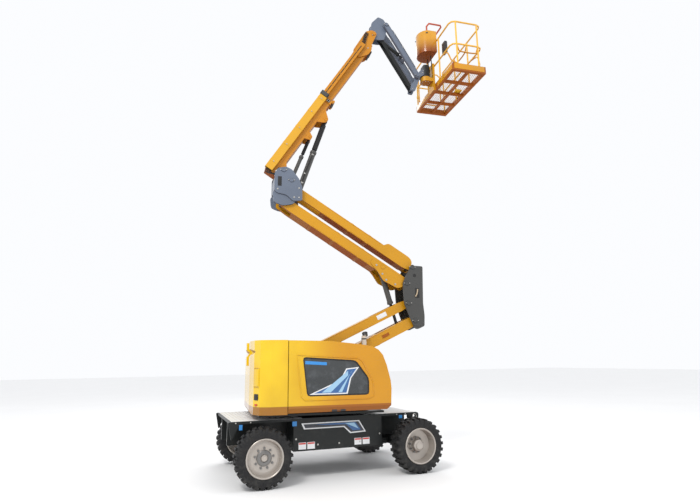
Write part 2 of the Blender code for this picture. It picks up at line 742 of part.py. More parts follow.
def upper_riser(upright_frame):
    """The upper main and tie links, which lean back from the upright."""
    (x, z), (tie_x, tie_z) = upper_pins()
    main_frame = frame("upper_main_frame", upright_frame, (x, 0, z), (0, -UPPER_ANGLE, 180))
    length, half = UPPER_LENGTH, MAIN_DEPTH / 2
    main = link_shell(length, MAIN_Y, MAIN_DEPTH, 0.085)
    head = TOWER_HEAD
    bracket = [
        (0.03, -0.10), (0.10, -0.17), (0.40, -0.20), (0.56, -0.12), (0.78, -0.05), (0.78, 0.04), (0.03, 0.05),
    ]
    plate = rounded(bracket, 0.03)
    for low, high in ((-MAIN_Y - 0.014, -MAIN_Y + 0.004), (MAIN_Y - 0.004, MAIN_Y + 0.014)):
        join(main, flat(plate, low, high))
    cut(main, slot((-0.2, head[0] + 0.10), (-0.4, 0), MAIN_Y - 0.04))
    cut(main, slot((length - 0.55, length + 0.2), (0, 0.3), MAIN_Y - 0.07))
    cut(main, slot((length - 0.25, length + 0.2), (-0.3, 0), MAIN_Y - 0.07))
    join(main, cross(head, 0.025, MAIN_Y - 0.004))
    cut(main, bore((0, 0), PIN_R, 1), bore((length, 0), PIN_R, 1))
    node(main, "upper_riser_main", main_frame, ORANGE)

    tie_frame = frame("upper_tie_frame", upright_frame, (tie_x, 0, tie_z), (0, -UPPER_ANGLE, 180))
    tie = link_shell(length, TIE_Y, TIE_DEPTH, 0.055)
    hump = rounded([(0.0, 0.05), (0.04, 0.13), (0.12, 0.165), (0.60, 0.165), (0.68, 0.06)], 0.04)
    for low, high in ((-TIE_Y + 0.001, -TIE_Y + WALL), (TIE_Y - WALL, TIE_Y - 0.001)):
        join(tie, flat(hump, low, high))
    cut(tie, slot((length - 1.35, length + 0.2), (0, 0.3), 0.10))
    cut(tie, slot((length - 0.75, length + 0.2), (-0.3, 0), 0.10))
    cut(tie, bore((0, 0), PIN_R, 1), bore((length, 0), 0.022, 1))
    node(tie, "upper_riser_tie", tie_frame, ORANGE)
    return main_frame


def upper_knuckle(upper_main):
    """The knuckle at the top of the risers: cheeks, inner cheeks for the lift cylinder, and all their pins."""
    here = frame("knuckle_frame", upper_main, (UPPER_LENGTH, 0, 0), (0, -UPPER_ANGLE, 180))
    outline = [
        (-0.10, 0.60), (0.05, 0.64), (0.16, 0.59), (0.29, 0.42), (0.35, 0.27), (0.35, 0.01), (0.18, -0.01),
        (0.06, 0.10), (-0.12, 0.13), (-0.16, 0.18), (-0.16, 0.50),
    ]
    cheek = rounded(outline, 0.03)
    near, far = both_sides(lambda low, high: flat(cheek, low, high), KNUCKLE_IN_Y, KNUCKLE_OUT_Y)
    hanger = rounded([(-0.19, 0.17), (0.30, 0.17), (0.20, -0.06), (0.0, -0.10), (-0.17, -0.04)], 0.05)
    hangers = both_sides(lambda low, high: flat(hanger, low, high), MAIN_Y + SIDE, KNUCKLE_IN_Y + 0.002)
    rib = rounded([(0.10, 0.26), (0.10, 0.42), (0.17, 0.43), (0.33, 0.14), (0.30, 0.06), (0.22, 0.07)], 0.03)
    ribs = both_sides(lambda low, high: flat(rib, low, high), 0.068, 0.086)
    width = KNUCKLE_IN_Y + 0.01
    back = box((-0.155, -0.135), (-width, width), (0.20, 0.43))
    tie = UPPER_TIE_OFFSET
    pins = [
        cross((0, 0), PIN_R, MAIN_Y + SIDE + 0.02),
        cross(tie, 0.022, KNUCKLE_IN_Y + 0.01),
        cross(BOOM_ROOT, PIN_R, KNUCKLE_OUT_Y + 0.004),
        cross(LEVEL_BASE, 0.018, KNUCKLE_OUT_Y + 0.004),
        cross(LIFT_BASE, 0.025, 0.08),
    ]
    node(join(near, far, *hangers, *ribs, back, *pins), "upper_knuckle", here, GREY)
    return here


# ================================================================ cylinders
def cylinder(names, parent, base, angle, head_distance, sizes, base_pin):
    """A hydraulic cylinder: the barrel turns on its base pin, the rod slides in it and ends in a free eye."""
    barrel_length, barrel_r, rod_length, rod_r = sizes
    here = frame(f"{names[0]}_frame", parent, (base[0], 0, base[1]), (0, -angle, 0))
    start = base_pin + 0.012
    barrel = rod((start, 0, 0), (barrel_length, 0, 0), barrel_r)
    join(barrel, rod((0, -EYE_Y, 0), (0, EYE_Y, 0), base_pin + 0.02))
    cut(barrel, rod((start + 0.012, 0, 0), (barrel_length + 0.1, 0, 0), rod_r + RUN))
    cut(barrel, bore((0, 0), base_pin, 1))
    node(barrel, names[0], here, GREY)
    slide = frame(f"{names[1]}_frame", here, (head_distance, 0, 0))
    shaft = rod((-rod_length, 0, 0), (0, 0, 0), rod_r)
    join(shaft, rod((0, -EYE_Y, 0), (0, EYE_Y, 0), rod_r + 0.014))
    node(shaft, names[1], slide, STEEL)


def distance_and_angle(start, end):
    """The length and the slope in degrees from one pin to another, given by X and Z."""
    dx, dz = end[0] - start[0], end[1] - start[1]
    return math.hypot(dx, dz), math.degrees(math.atan2(dz, dx))


def along(origin, angle, x, z):
    """A point given along and above a line that leaves an origin at an angle."""
    c, s = math.cos(math.radians(angle)), math.sin(math.radians(angle))
    return origin[0] + x * c - z * s, origin[1] + x * s + z * c


def tower_cylinder(upper_main):
    """The cylinder that spreads the risers, from the upper main link down to the lower one."""
    lower_pin = (0.0, 0.0)
    foot = along(lower_pin, LOWER_ANGLE, -TOWER_FOOT[0], TOWER_FOOT[1])
    mirrored_root = (-UPPER_ROOT[0], UPPER_ROOT[1])
    head = along(mirrored_root, UPPER_ANGLE, TOWER_HEAD[0], TOWER_HEAD[1])
    length, angle = distance_and_angle(head, (-foot[0], foot[1]))
    sizes = (TOWER_BARREL, TOWER_BARREL_R, TOWER_ROD, TOWER_ROD_R)
    names = ("tower_cylinder_barrel", "tower_cylinder_rod")
    cylinder(names, upper_main, TOWER_HEAD, angle - UPPER_ANGLE, length, sizes, 0.025)


def boom_cylinders(knuckle):
    """The boom's lift cylinder, and the small one that keeps the platform level."""
    for names, base, head, sizes, pin in (
        (("lift_cylinder_barrel", "lift_cylinder_rod"), LIFT_BASE, LIFT_HEAD,
         (LIFT_BARREL, LIFT_BARREL_R, LIFT_ROD, LIFT_ROD_R), 0.025),
        (("level_cylinder_barrel", "level_cylinder_rod"), LEVEL_BASE, LEVEL_HEAD,
         (LEVEL_BARREL, LEVEL_BARREL_R, LEVEL_ROD, LEVEL_ROD_R), 0.018),
    ):
        end = along(BOOM_ROOT, BOOM_ANGLE, *head)
        length, angle = distance_and_angle(base, end)
        cylinder(names, knuckle, base, angle, length, sizes, pin)


# ================================================================ main boom
def section_tube(x, half_y, z, wall):
    """A rectangular tube, open at both ends."""
    outer = box(x, (-half_y, half_y), z)
    inner = box((x[0] - 1, x[1] + 1), (-half_y + wall, half_y - wall), (z[0] + wall, z[1] - wall))
    return cut(outer, inner)


def gusset(base, outline, head):
    """A pair of lugs under the boom, with stubs on each side of a cylinder's eye."""
    for side in (-1, 1):
        low, high = sorted((side * 0.100, side * (BASE_Y - 0.002)))
        join(base, flat(rounded(outline, 0.02, 2), low, high))
        start, end = side * (EYE_Y + EYE_GAP), side * 0.115
        join(base, rod((head[0], start, head[1]), (head[0], end, head[1]), 0.028))


def main_boom(knuckle):
    """The base section with its lugs and collar, and the cable trough along its near side."""
    here = frame("boom_frame", knuckle, (BOOM_ROOT[0], 0, BOOM_ROOT[1]), (0, -BOOM_ANGLE, 0))
    z = (BASE_LOW, BASE_HIGH)
    base = section_tube((BASE_REAR, BASE_FRONT), BASE_Y, z, BASE_WALL)
    collar_z = (z[0] - 0.012, z[1] + 0.012)
    collar = section_tube((BASE_FRONT - 0.08, BASE_FRONT + 0.005), BASE_Y + 0.012, collar_z, 0.018)
    join(base, collar)
    foot = rounded([(-0.11, 0.12), (-0.07, -0.045), (0.07, -0.045), (0.26, 0.10)], 0.045)
    for side in (-1, 1):
        low, high = sorted((side * 0.102, side * (BASE_Y - 0.001)))
        join(base, flat(foot, low, high))
    gusset(base, [(1.23, 0.10), (1.33, -0.06), (1.38, -0.105), (1.44, -0.10), (1.62, 0.10)], LIFT_HEAD)
    gusset(base, [(0.80, 0.10), (0.86, -0.055), (0.94, -0.055), (1.02, 0.10)], LEVEL_HEAD)
    cut(base, box((0.80, 1.02), (-0.045, 0.045), (0, z[0] + 0.03)))
    inner = BASE_WALL
    cut(base, box((-1, 3), (-BASE_Y + inner, BASE_Y - inner), (z[0] + inner, z[1] - inner)))
    cut(base, bore((0, 0), PIN_R, 1))
    node(base, "boom_base", here, ORANGE)
    trough = box((-0.125, 1.76), (-TROUGH_OUT_Y, -BASE_Y - TOUCH), (TROUGH_LOW, TROUGH_HIGH))
    hollow_y = (-TROUGH_OUT_Y + 0.004, -BASE_Y - 0.006)
    cut(trough, box((-1, 3), hollow_y, (TROUGH_LOW + 0.005, TROUGH_HIGH - 0.005)))
    cut(trough, box((BASE_FRONT - 0.09, 3), (-BASE_Y - 0.012 - TOUCH, 0), (0, 1)))
    node(trough, "cable_trough", here, ORANGE)
    return here


def boom_extension(boom):
    """The sliding fly section with its pads and head, and the cable carrier tube beside it."""
    here = frame("fly_frame", boom)
    z = (FLY_LOW, FLY_HIGH)
    fly = section_tube((FLY_REAR, FLY_FRONT), FLY_Y, z, FLY_WALL)
    pad_y = BASE_Y - BASE_WALL - RUN
    pad_z = (BASE_LOW + BASE_WALL + RUN, BASE_HIGH - BASE_WALL - RUN)
    pad = box((FLY_REAR + 0.01, FLY_REAR + 0.11), (-pad_y, pad_y), pad_z)
    reach = FLY_WALL
    cut(pad, box((0, 4), (-FLY_Y + reach, FLY_Y - reach), (z[0] + reach, z[1] - reach)))
    node(join(fly, pad), "boom_fly", here, ORANGE)

    outline = [
        (3.00, 0.16), (3.06, 0.335), (3.62, 0.36), (3.745, 0.27), (3.745, 0.15), (3.44, 0.10), (3.34, 0.035),
        (3.20, 0.035),
    ]
    cheek = rounded(outline, 0.04)
    near, far = both_sides(lambda low, high: flat(cheek, low, high), FLY_Y + TOUCH, FLY_Y + 0.022)
    bridge_y = FLY_Y + 0.01
    bridges = [
        box((3.08, 3.40), (-bridge_y, bridge_y), (FLY_HIGH + TOUCH, FLY_HIGH + 0.03)),
        box((3.22, 3.34), (-bridge_y, bridge_y), (FLY_LOW - 0.03, FLY_LOW - TOUCH)),
    ]
    pin = cross(JIB_HEAD, 0.03, FLY_Y + 0.024)
    node(join(near, far, *bridges, pin), "boom_head", here, ORANGE)

    outer, inner = (-0.194, -0.150), (-0.190, -0.154)
    carrier = cut(box((0.85, 3.30), outer, (0.19, 0.295)), box((0.8, 3.4), inner, (0.194, 0.291)))
    join(carrier, box((3.15, 3.20), (-0.152, -FLY_Y - 0.022 - TOUCH), (0.21, 0.275)))
    node(carrier, "cable_carrier", here, ORANGE)
    return here


# ================================================================ jib
def jib(fly):
    """The levelled jib knuckle, the paired jib arm, its link, its cylinder and the end bracket."""
    knuckle = frame("jib_knuckle_frame", fly, (JIB_HEAD[0], 0, JIB_HEAD[1]), (0, BOOM_ANGLE, 0))
    root, tie = JIB_ROOT, (JIB_ROOT[0] + JIB_TIE_OFFSET[0], JIB_ROOT[1] + JIB_TIE_OFFSET[1])
    outline = [
        (-0.10, -0.25), (-0.12, -0.10), (-0.05, 0.05), (-0.03, 0.27), (0.12, 0.44), (0.24, 0.40), (0.34, 0.22),
        (0.30, 0.14), (0.24, -0.08), (0.14, -0.10), (0.0, -0.10),
    ]
    cheek = rounded(outline, 0.03)
    near, far = both_sides(lambda low, high: flat(cheek, low, high), JIB_CHEEK_IN_Y, JIB_CHEEK_OUT_Y)
    width = JIB_CHEEK_IN_Y + 0.01
    back = box((-0.02, 0.04), (-width, width), (0.14, 0.22))
    pins = []
    for side in (-1, 1):
        start, end = side * JIB_CHEEK_IN_Y, side * (JIB_OUT_Y + 0.006)
        pins.append(rod((root[0], start, root[1]), (root[0], end, root[1]), JIB_PIN_R))
    pins.append(cross(tie, 0.018, JIB_CHEEK_IN_Y + 0.01))
    body = cut(join(near, far, back, *pins), bore((0, 0), 0.03, 1))
    node(body, "jib_knuckle", knuckle, BLUE_GREY)

    arm_frame = frame("jib_arm_frame", knuckle, (root[0], 0, root[1]), (0, -JIB_ANGLE, 0))
    half = JIB_DEPTH / 2
    outline = capsule((0, 0), (JIB_LENGTH, 0), half, half)
    near, far = both_sides(lambda low, high: flat(outline, low, high), JIB_IN_Y, JIB_OUT_Y)
    at = JIB_CYL_AT
    bridge = box((at + 0.045, at + 0.10), (-JIB_IN_Y - 0.02, JIB_IN_Y + 0.02), (0.0, half - 0.01))
    stubs = [rod((at, s * (EYE_Y + EYE_GAP), 0), (at, s * (JIB_IN_Y + 0.02), 0), 0.018) for s in (-1, 1)]
    arm = join(near, far, bridge, *stubs)
    cut(arm, bore((0, 0), JIB_PIN_R, 1), bore((JIB_LENGTH, 0), JIB_PIN_R, 1))
    node(arm, "jib_arm", arm_frame, BLUE_GREY)

    link_frame = frame("jib_link_frame", knuckle, (tie[0], 0, tie[1]), (0, -JIB_ANGLE, 0))
    half = STRAP_DEPTH / 2 + 0.006
    outline = capsule((0, 0), (JIB_LENGTH, 0), half, half)
    near, far = both_sides(lambda low, high: flat(outline, low, high), STRAP_IN_Y, STRAP_OUT_Y)
    bridge = box((1.09, 1.15), (-STRAP_IN_Y - 0.01, STRAP_IN_Y + 0.01), (-0.012, 0.012))
    strap = join(near, far, bridge)
    cut(strap, bore((0, 0), 0.018, 1), bore((JIB_LENGTH, 0), 0.018, 1))
    node(strap, "jib_link", link_frame, DARK)

    head = along(root, JIB_ANGLE, JIB_CYL_AT, 0)
    length, angle = distance_and_angle(tie, head)
    sizes = (JIB_BARREL, JIB_BARREL_R, JIB_ROD, JIB_ROD_R)
    cylinder(("jib_cylinder_barrel", "jib_cylinder_rod"), knuckle, tie, angle, length, sizes, 0.018)
    return arm_frame


def jib_end(arm_frame):
    """The end bracket that stays level, and the rotator it carries."""
    here = frame("jib_end_frame", arm_frame, (JIB_LENGTH, 0, 0), (0, JIB_ANGLE, 0))
    tie = JIB_TIE_OFFSET
    outline = [
        (-0.03, 0.05), (0.04, 0.10), (0.14, 0.20), (0.18, 0.20), (0.18, 0.07), (0.10, 0.03), (-0.04, -0.33),
        (-0.14, -0.32), (-0.13, -0.22), (-0.05, -0.08),
    ]
    cheek = rounded(outline, 0.025)
    near, far = both_sides(lambda low, high: flat(cheek, low, high), JIB_CHEEK_IN_Y, JIB_CHEEK_OUT_Y)
    width = JIB_CHEEK_IN_Y + 0.01
    web = box((0.105, 0.125), (-width, width), (0.065, 0.18))
    pins = [cross((0, 0), JIB_PIN_R, JIB_OUT_Y + 0.006), cross(tie, 0.018, JIB_CHEEK_IN_Y + 0.01)]
    node(join(near, far, web, *pins), "jib_end", here, BLUE_GREY)
    body = rod((ROTATOR_X, 0, ROTATOR_LOW), (ROTATOR_X, 0, ROTATOR_HIGH), ROTATOR_R, 32)
    ear = box((0.135, ROTATOR_X), (-JIB_CHEEK_IN_Y + TOUCH, JIB_CHEEK_IN_Y - TOUCH), (0.07, 0.18))
    cut(body, box((0, 0.181), (-0.2, 0.2), (0, 0.4)))
    node(join(body, ear), "rotator", here, DARK)
    return here


# ================================================================ platform
def platform(end_frame):
    """The work platform, which slews on the rotator."""
    here = frame("platform_frame", end_frame, (ROTATOR_X, 0, 0))
    low = -FLOOR_DROP
    x0, x1, y = PLATFORM_GAP, PLATFORM_GAP + PLATFORM_W, PLATFORM_L / 2
    platform_floor(here, x0, x1, y, low)
    platform_rails(here, x0, x1, y, low)
    platform_gate(here, x0, x1, y, low)
    yoke_top = ROTATOR_LOW - RUN
    disc = rod((0, 0, yoke_top - 0.10), (0, 0, yoke_top), ROTATOR_R + 0.015, 32)
    arm = box((0, x0 - TOUCH), (-0.11, 0.11), (yoke_top - 0.10, yoke_top - 0.02))
    post = box((x0 - 0.045, x0 - TOUCH), (-0.11, 0.11), (low, low + 0.62))
    node(join(disc, arm, post), "platform_yoke", here, ORANGE)
    console(here, x0, low)


def platform_floor(here, x0, x1, y, low):
    """The floor frame with beams, its toe board and an open grid between."""
    top = low + FLOOR_T
    floor = box((x0, x1), (-y, y), (low, low + TOE_H))
    edge, board = 0.05, 0.006
    cut(floor, box((x0 + board, x1 - board), (-y + board, y - board), (top, low + 1)))
    bays = 4
    pitch = (2 * y - 2 * edge) / bays
    for i in range(bays):
        start = -y + edge + i * pitch
        for a, b in ((x0 + edge, x0 + 0.34), (x0 + 0.38, x1 - edge)):
            cut(floor, box((a, b), (start + 0.02, start + pitch - 0.02), (low - 1, top + 0.01)))
    node(floor, "platform_floor", here, ORANGE)


def platform_rails(here, x0, x1, y, low):
    """The guard rails: posts, a top rail and a middle rail round three sides."""
    inset = RAIL_INSET
    a, b, n = x0 + inset, x1 - inset, -y + inset
    far = y - inset
    foot = low + FLOOR_T + TOUCH
    top, mid = low + RAIL_H, low + MID_RAIL_H
    r = RAIL_R
    bend = 0.10
    loop = []
    for z in (top, mid):
        left = [(a, far, z), (a, n + bend, z), (a + bend * 0.3, n + bend * 0.3, z), (a + bend, n, z)]
        right = [(b - bend, n, z), (b - bend * 0.3, n + bend * 0.3, z), (b, n + bend, z), (b, far, z)]
        loop.append(tube(left + right, r))
    places = [(px, py) for py in (far, 0.30, -0.30) for px in (a, b)] + [(a + bend, n), (b - bend, n)]
    posts = [rod((px, py, foot), (px, py, top), r, 10) for px, py in places]
    rails = join(loop[0], loop[1], *posts)
    node(rails, "platform_rails", here, ORANGE)


def platform_gate(here, x0, x1, y, low):
    """The entry gate at the far end, a bent tube frame on rings round the post by the boom; it swings inwards."""
    pivot = frame("gate_frame", here, (x0 + RAIL_INSET, y - RAIL_INSET, 0))
    start, end = 0.055, PLATFORM_W - 2 * RAIL_INSET - 0.07
    z0, z1 = low + 0.25, low + RAIL_H - 0.05
    corner, out = 0.06, GATE_OUT
    points = [(start, out, z0 + corner), (start, out, z1 - corner), (start + corner, out, z1)]
    points += [(end - corner, out, z1), (end, out, z1 - corner), (end, out, z0 + corner)]
    points += [(end - corner, out, z0), (start + corner, out, z0)]
    r = RAIL_R - 0.002
    gate = tube(points, r, 2, cyclic=True)
    bar = rod((start, out, (z0 + z1) / 2), (end, out, (z0 + z1) / 2), r, 10)
    join(gate, bar)
    for z in (z0 + 0.10, z1 - 0.15):
        ring = rod((0, 0, z), (0, 0, z + 0.05), RAIL_R + 0.009)
        arm = box((0, start - 0.002), (0.002, 0.012), (z + 0.004, z + 0.046))
        strap = box((start - 0.010, start + 0.002), (0.004, out), (z + 0.008, z + 0.042))
        join(gate, ring, arm, strap)
    cut(gate, rod((0, 0, low), (0, 0, low + 2), (RAIL_R + RUN) / math.cos(math.pi / ROUND)))
    node(gate, "platform_gate", pivot, ORANGE)


def console(here, x0, low):
    """The control console's housing on the boom side, outside the top rail."""
    side = [
        (-0.27, low + 1.0), (0.20, low + 0.80), (0.20, low + 1.24), (-0.20, low + 1.30), (-0.27, low + 1.25),
    ]
    housing = flat(rounded(side, 0.05), x0 - 0.35, x0 + RAIL_INSET - 0.006, "YZ")
    rail = (x0 + RAIL_INSET, low + RAIL_H)
    cut(housing, tube([(rail[0], 1, rail[1]), (rail[0], -1, rail[1])], RAIL_R + 0.0004))
    node(housing, "control_console", here, ORANGE)


# ================================================================ the whole machine
def build():
    """Builds every piece of the lift."""
    clear_scene()
    root = frame("chassis")
    chassis(root)
    running_gear(root)
    turret = frame("turret", root, turn=(0, 0, TURRET_SWING))
    turret_base(root, turret)
    turret_tower(turret)
    counterweight(turret)
    power_pack(turret)
    hood(turret, -1, "near_hood")
    hood(turret, 1, "far_hood")
    lower_main = lower_riser(turret)
    upright_frame = upright(lower_main)
    upper_main = upper_riser(upright_frame)
    tower_cylinder(upper_main)
    knuckle = upper_knuckle(upper_main)
    boom_cylinders(knuckle)
    boom = main_boom(knuckle)
    fly = boom_extension(boom)
    arm_frame = jib(fly)
    end_frame = jib_end(arm_frame)
    platform(end_frame)


build()
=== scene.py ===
"""Looks of the articulating boom lift: its finishes, and the small pieces that the solid parts leave out.

Units are metres, +Z is up. Sub-assemblies are built in the frame of their own pin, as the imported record
places it: x runs along the piece, y across the machine and z away from the piece's underside.
"""

import json
import logging
import math
from dataclasses import dataclass
from enum import Enum
from typing import Callable, Iterable, Optional, Sequence, Union

import bpy
from mathutils import Matrix, Vector


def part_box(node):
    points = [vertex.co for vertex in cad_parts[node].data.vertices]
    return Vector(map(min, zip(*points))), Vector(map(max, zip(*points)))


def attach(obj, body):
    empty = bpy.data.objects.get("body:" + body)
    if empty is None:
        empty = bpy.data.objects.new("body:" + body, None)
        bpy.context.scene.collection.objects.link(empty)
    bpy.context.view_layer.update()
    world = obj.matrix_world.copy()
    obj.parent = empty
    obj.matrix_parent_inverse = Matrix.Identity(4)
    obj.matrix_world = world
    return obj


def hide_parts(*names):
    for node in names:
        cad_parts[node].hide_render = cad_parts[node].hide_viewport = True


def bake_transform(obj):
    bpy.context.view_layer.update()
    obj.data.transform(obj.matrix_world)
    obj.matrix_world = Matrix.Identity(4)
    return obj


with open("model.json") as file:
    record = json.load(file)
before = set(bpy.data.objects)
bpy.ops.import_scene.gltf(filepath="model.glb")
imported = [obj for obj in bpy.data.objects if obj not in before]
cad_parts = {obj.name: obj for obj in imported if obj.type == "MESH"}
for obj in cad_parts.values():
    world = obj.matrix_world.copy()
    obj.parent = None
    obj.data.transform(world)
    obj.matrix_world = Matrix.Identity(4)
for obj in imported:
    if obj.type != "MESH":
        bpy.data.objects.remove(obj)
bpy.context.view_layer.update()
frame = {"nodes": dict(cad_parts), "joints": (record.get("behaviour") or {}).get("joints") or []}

LOG = logging.getLogger("boom_lift")
JOINTS = {joint["name"]: joint for joint in frame["joints"]}
NODES = frame["nodes"]
Point = Sequence[float]
Colour = tuple[float, float, float]

TURRET_YAW = -6.0       # degrees that the turret stands turned from straight ahead
LOWER_RISER_PITCH = 25.6
UPPER_RISER_PITCH = 32.0
BOOM_PITCH = 57.0
JIB_PITCH = -58.5
SEAT = 0.0006           # a plate's gap to the surface that it lies on
RAIL_TOP = 1.10         # the top rail above the platform floor's underside
ENDS = (("near", -1), ("far", 1))


# ---------------------------------------------------------------- places
def pin(joint: str) -> Vector:
    """Place of a joint's pin at rest."""
    return Vector(JOINTS[joint]["pos_m"])


def station(at: Point, pitch: float = 0.0, yaw: float = TURRET_YAW) -> Matrix:
    """Frame of a piece: x along it, y across the machine.

    Args:
        at: where its origin is, in the machine's frame.
        pitch: degrees that its x rises from the horizontal.
        yaw: degrees that it is turned about the vertical.

    Returns:
        The matrix from the piece's frame to the machine's.
    """
    turn = Matrix.Rotation(math.radians(yaw), 4, "Z") @ Matrix.Rotation(-math.radians(pitch), 4, "Y")
    return Matrix.Translation(at) @ turn


CHASSIS = Matrix.Identity(4)
TURRET = station((0.0, 0.0, 0.0))
LOWER_MAIN = station(pin("tower_lift"), LOWER_RISER_PITCH)
LOWER_TIE = station(pin("lower_tie_turn"), LOWER_RISER_PITCH)
UPRIGHT = station(pin("upright_turn"))
UPPER_MAIN = station(pin("upper_main_turn"), UPPER_RISER_PITCH, TURRET_YAW + 180.0)
UPPER_TIE = station(pin("upper_tie_turn"), UPPER_RISER_PITCH, TURRET_YAW + 180.0)
KNUCKLE = station(pin("knuckle_turn"))
BOOM = station(pin("boom_lift"), BOOM_PITCH)
JIB_KNUCKLE = station(pin("jib_level"))
JIB_ARM = station(pin("jib_lift"), JIB_PITCH)
JIB_END = station(pin("jib_end_level"))
PLATFORM = station(pin("platform_rotate"))


def slide_station(joint: str, barrel: str) -> Matrix:
    """Frame of a cylinder, at its barrel's pin, with x along its rod.

    Args:
        joint: the rod's sliding joint.
        barrel: the barrel's turning joint.

    Returns:
        The matrix from the cylinder's frame to the machine's.
    """
    along = Vector(JOINTS[joint]["axis"]).normalized()
    across = Vector((-math.sin(math.radians(TURRET_YAW)), math.cos(math.radians(TURRET_YAW)), 0.0))
    up = along.cross(across)
    turn = Matrix((along, across, up)).transposed().to_4x4()
    return Matrix.Translation(pin(barrel)) @ turn


# ---------------------------------------------------------------- shader expressions
class Signal:
    """A shader value that Python's operators work on; each operation adds its Math node."""

    def __init__(self, mixer: "Mixer", socket: bpy.types.NodeSocket) -> None:
        """Keeps the socket and the material it belongs to."""
        self.mixer = mixer
        self.socket = socket

    def _math(self, operation: str, *terms: Union["Signal", float]) -> "Signal":
        """One Math node.

        Args:
            operation: the node's operation.
            terms: its inputs in order.

        Returns:
            The node's result.
        """
        return self.mixer.node("ShaderNodeMath", {"operation": operation}, dict(enumerate(terms)))

    def __add__(self, other: Union["Signal", float]) -> "Signal":
        """self + other."""
        return self._math("ADD", self, other)

    __radd__ = __add__

    def __mul__(self, other: Union["Signal", float]) -> "Signal":
        """self * other."""
        return self._math("MULTIPLY", self, other)

    __rmul__ = __mul__

    def __sub__(self, other: Union["Signal", float]) -> "Signal":
        """self - other."""
        return self._math("SUBTRACT", self, other)

    def __rsub__(self, other: Union["Signal", float]) -> "Signal":
        """other - self."""
        return self._math("SUBTRACT", other, self)

    def step(self, start: float, end: float) -> "Signal":
        """A smooth rise from 0 at start to 1 at end.

        Args:
            start: value of self that gives 0.
            end: value of self that gives 1.

        Returns:
            The risen signal, between 0 and 1.
        """
        settings = {"interpolation_type": "SMOOTHSTEP"}
        return self.mixer.node("ShaderNodeMapRange", settings, {0: self, 1: start, 2: end, 3: 0.0, 4: 1.0})


Value = Union[Signal, float, int, tuple]


class Mixer:
    """Makes one material: a Principled shader and the nodes that feed it."""

    def __init__(self, name: str) -> None:
        """Starts a material with an empty Principled shader."""
        self.material = bpy.data.materials.new(name)
        self.material.use_nodes = True
        self.tree = self.material.node_tree
        self.shader = self.tree.nodes["Principled BSDF"]
        self.coordinates = self.tree.nodes.new("ShaderNodeTexCoord")

    def node(self, kind: str, settings: dict, values: dict, output: Union[int, str] = 0) -> Signal:
        """Adds one node.

        Args:
            kind: the node's type.
            settings: its own properties.
            values: its inputs by name or number, as numbers or signals.
            output: the name or number of the result wanted.

        Returns:
            The node's result.
        """
        made = self.tree.nodes.new(kind)
        for key, value in settings.items():
            setattr(made, key, value)
        for key, value in values.items():
            self.feed(made.inputs[key], value)
        return Signal(self, made.outputs[output])

    def feed(self, socket: bpy.types.NodeSocket, value: Value) -> None:
        """Sets a socket, or links a signal to it.

        Args:
            socket: the socket.
            value: a number, a colour, a vector or a signal.
        """
        if isinstance(value, Signal):
            self.tree.links.new(value.socket, socket)
        elif isinstance(value, tuple) and socket.type == "RGBA":
            socket.default_value = (*value, 1.0)
        else:
            socket.default_value = value

    def set(self, **inputs: Value) -> None:
        """Sets the shader's inputs, whose names are written with _ for a space."""
        for key, value in inputs.items():
            self.feed(self.shader.inputs[key.replace("_", " ")], value)

    @property
    def place(self) -> Signal:
        """The surface's place in the object's own frame."""
        return Signal(self, self.coordinates.outputs["Object"])

    def axis(self, name: str, source: str = "Object") -> Signal:
        """One coordinate, "X", "Y" or "Z", of the surface's place or of its "Normal"."""
        whole = Signal(self, self.coordinates.outputs[source])
        return self.node("ShaderNodeSeparateXYZ", {}, {0: whole}, name)

    def noise(self, scale: float, detail: float = 3.0, roughness: float = 0.55,
              at: Optional[Signal] = None) -> Signal:
        """A cloudy pattern.

        Args:
            scale: patches to a metre.
            detail: how many finer layers it has.
            roughness: how strong they are.
            at: where it is read, or the surface's place.

        Returns:
            The pattern, about 0.5.
        """
        values = {"Vector": at or self.place, "Scale": scale, "Detail": detail, "Roughness": roughness}
        return self.node("ShaderNodeTexNoise", {}, values, "Fac")

    def blend(self, first: Value, second: Value, share: Value) -> Signal:
        """Mixes two colours.

        Args:
            first: the colour at share 0.
            second: the colour at share 1.
            share: how much of the second.

        Returns:
            The mixed colour.
        """
        return self.node("ShaderNodeMix", {"data_type": "RGBA"}, {0: share, 6: first, 7: second}, 2)

    def bump(self, height: Signal, distance: float, strength: float = 1.0) -> None:
        """Gives the surface a relief.

        Args:
            height: the relief, 0 to 1.
            distance: its depth in metres.
            strength: how much of it shows.
        """
        values = {"Height": height, "Distance": distance, "Strength": strength}
        self.set(Normal=self.node("ShaderNodeBump", {}, values, "Normal"))


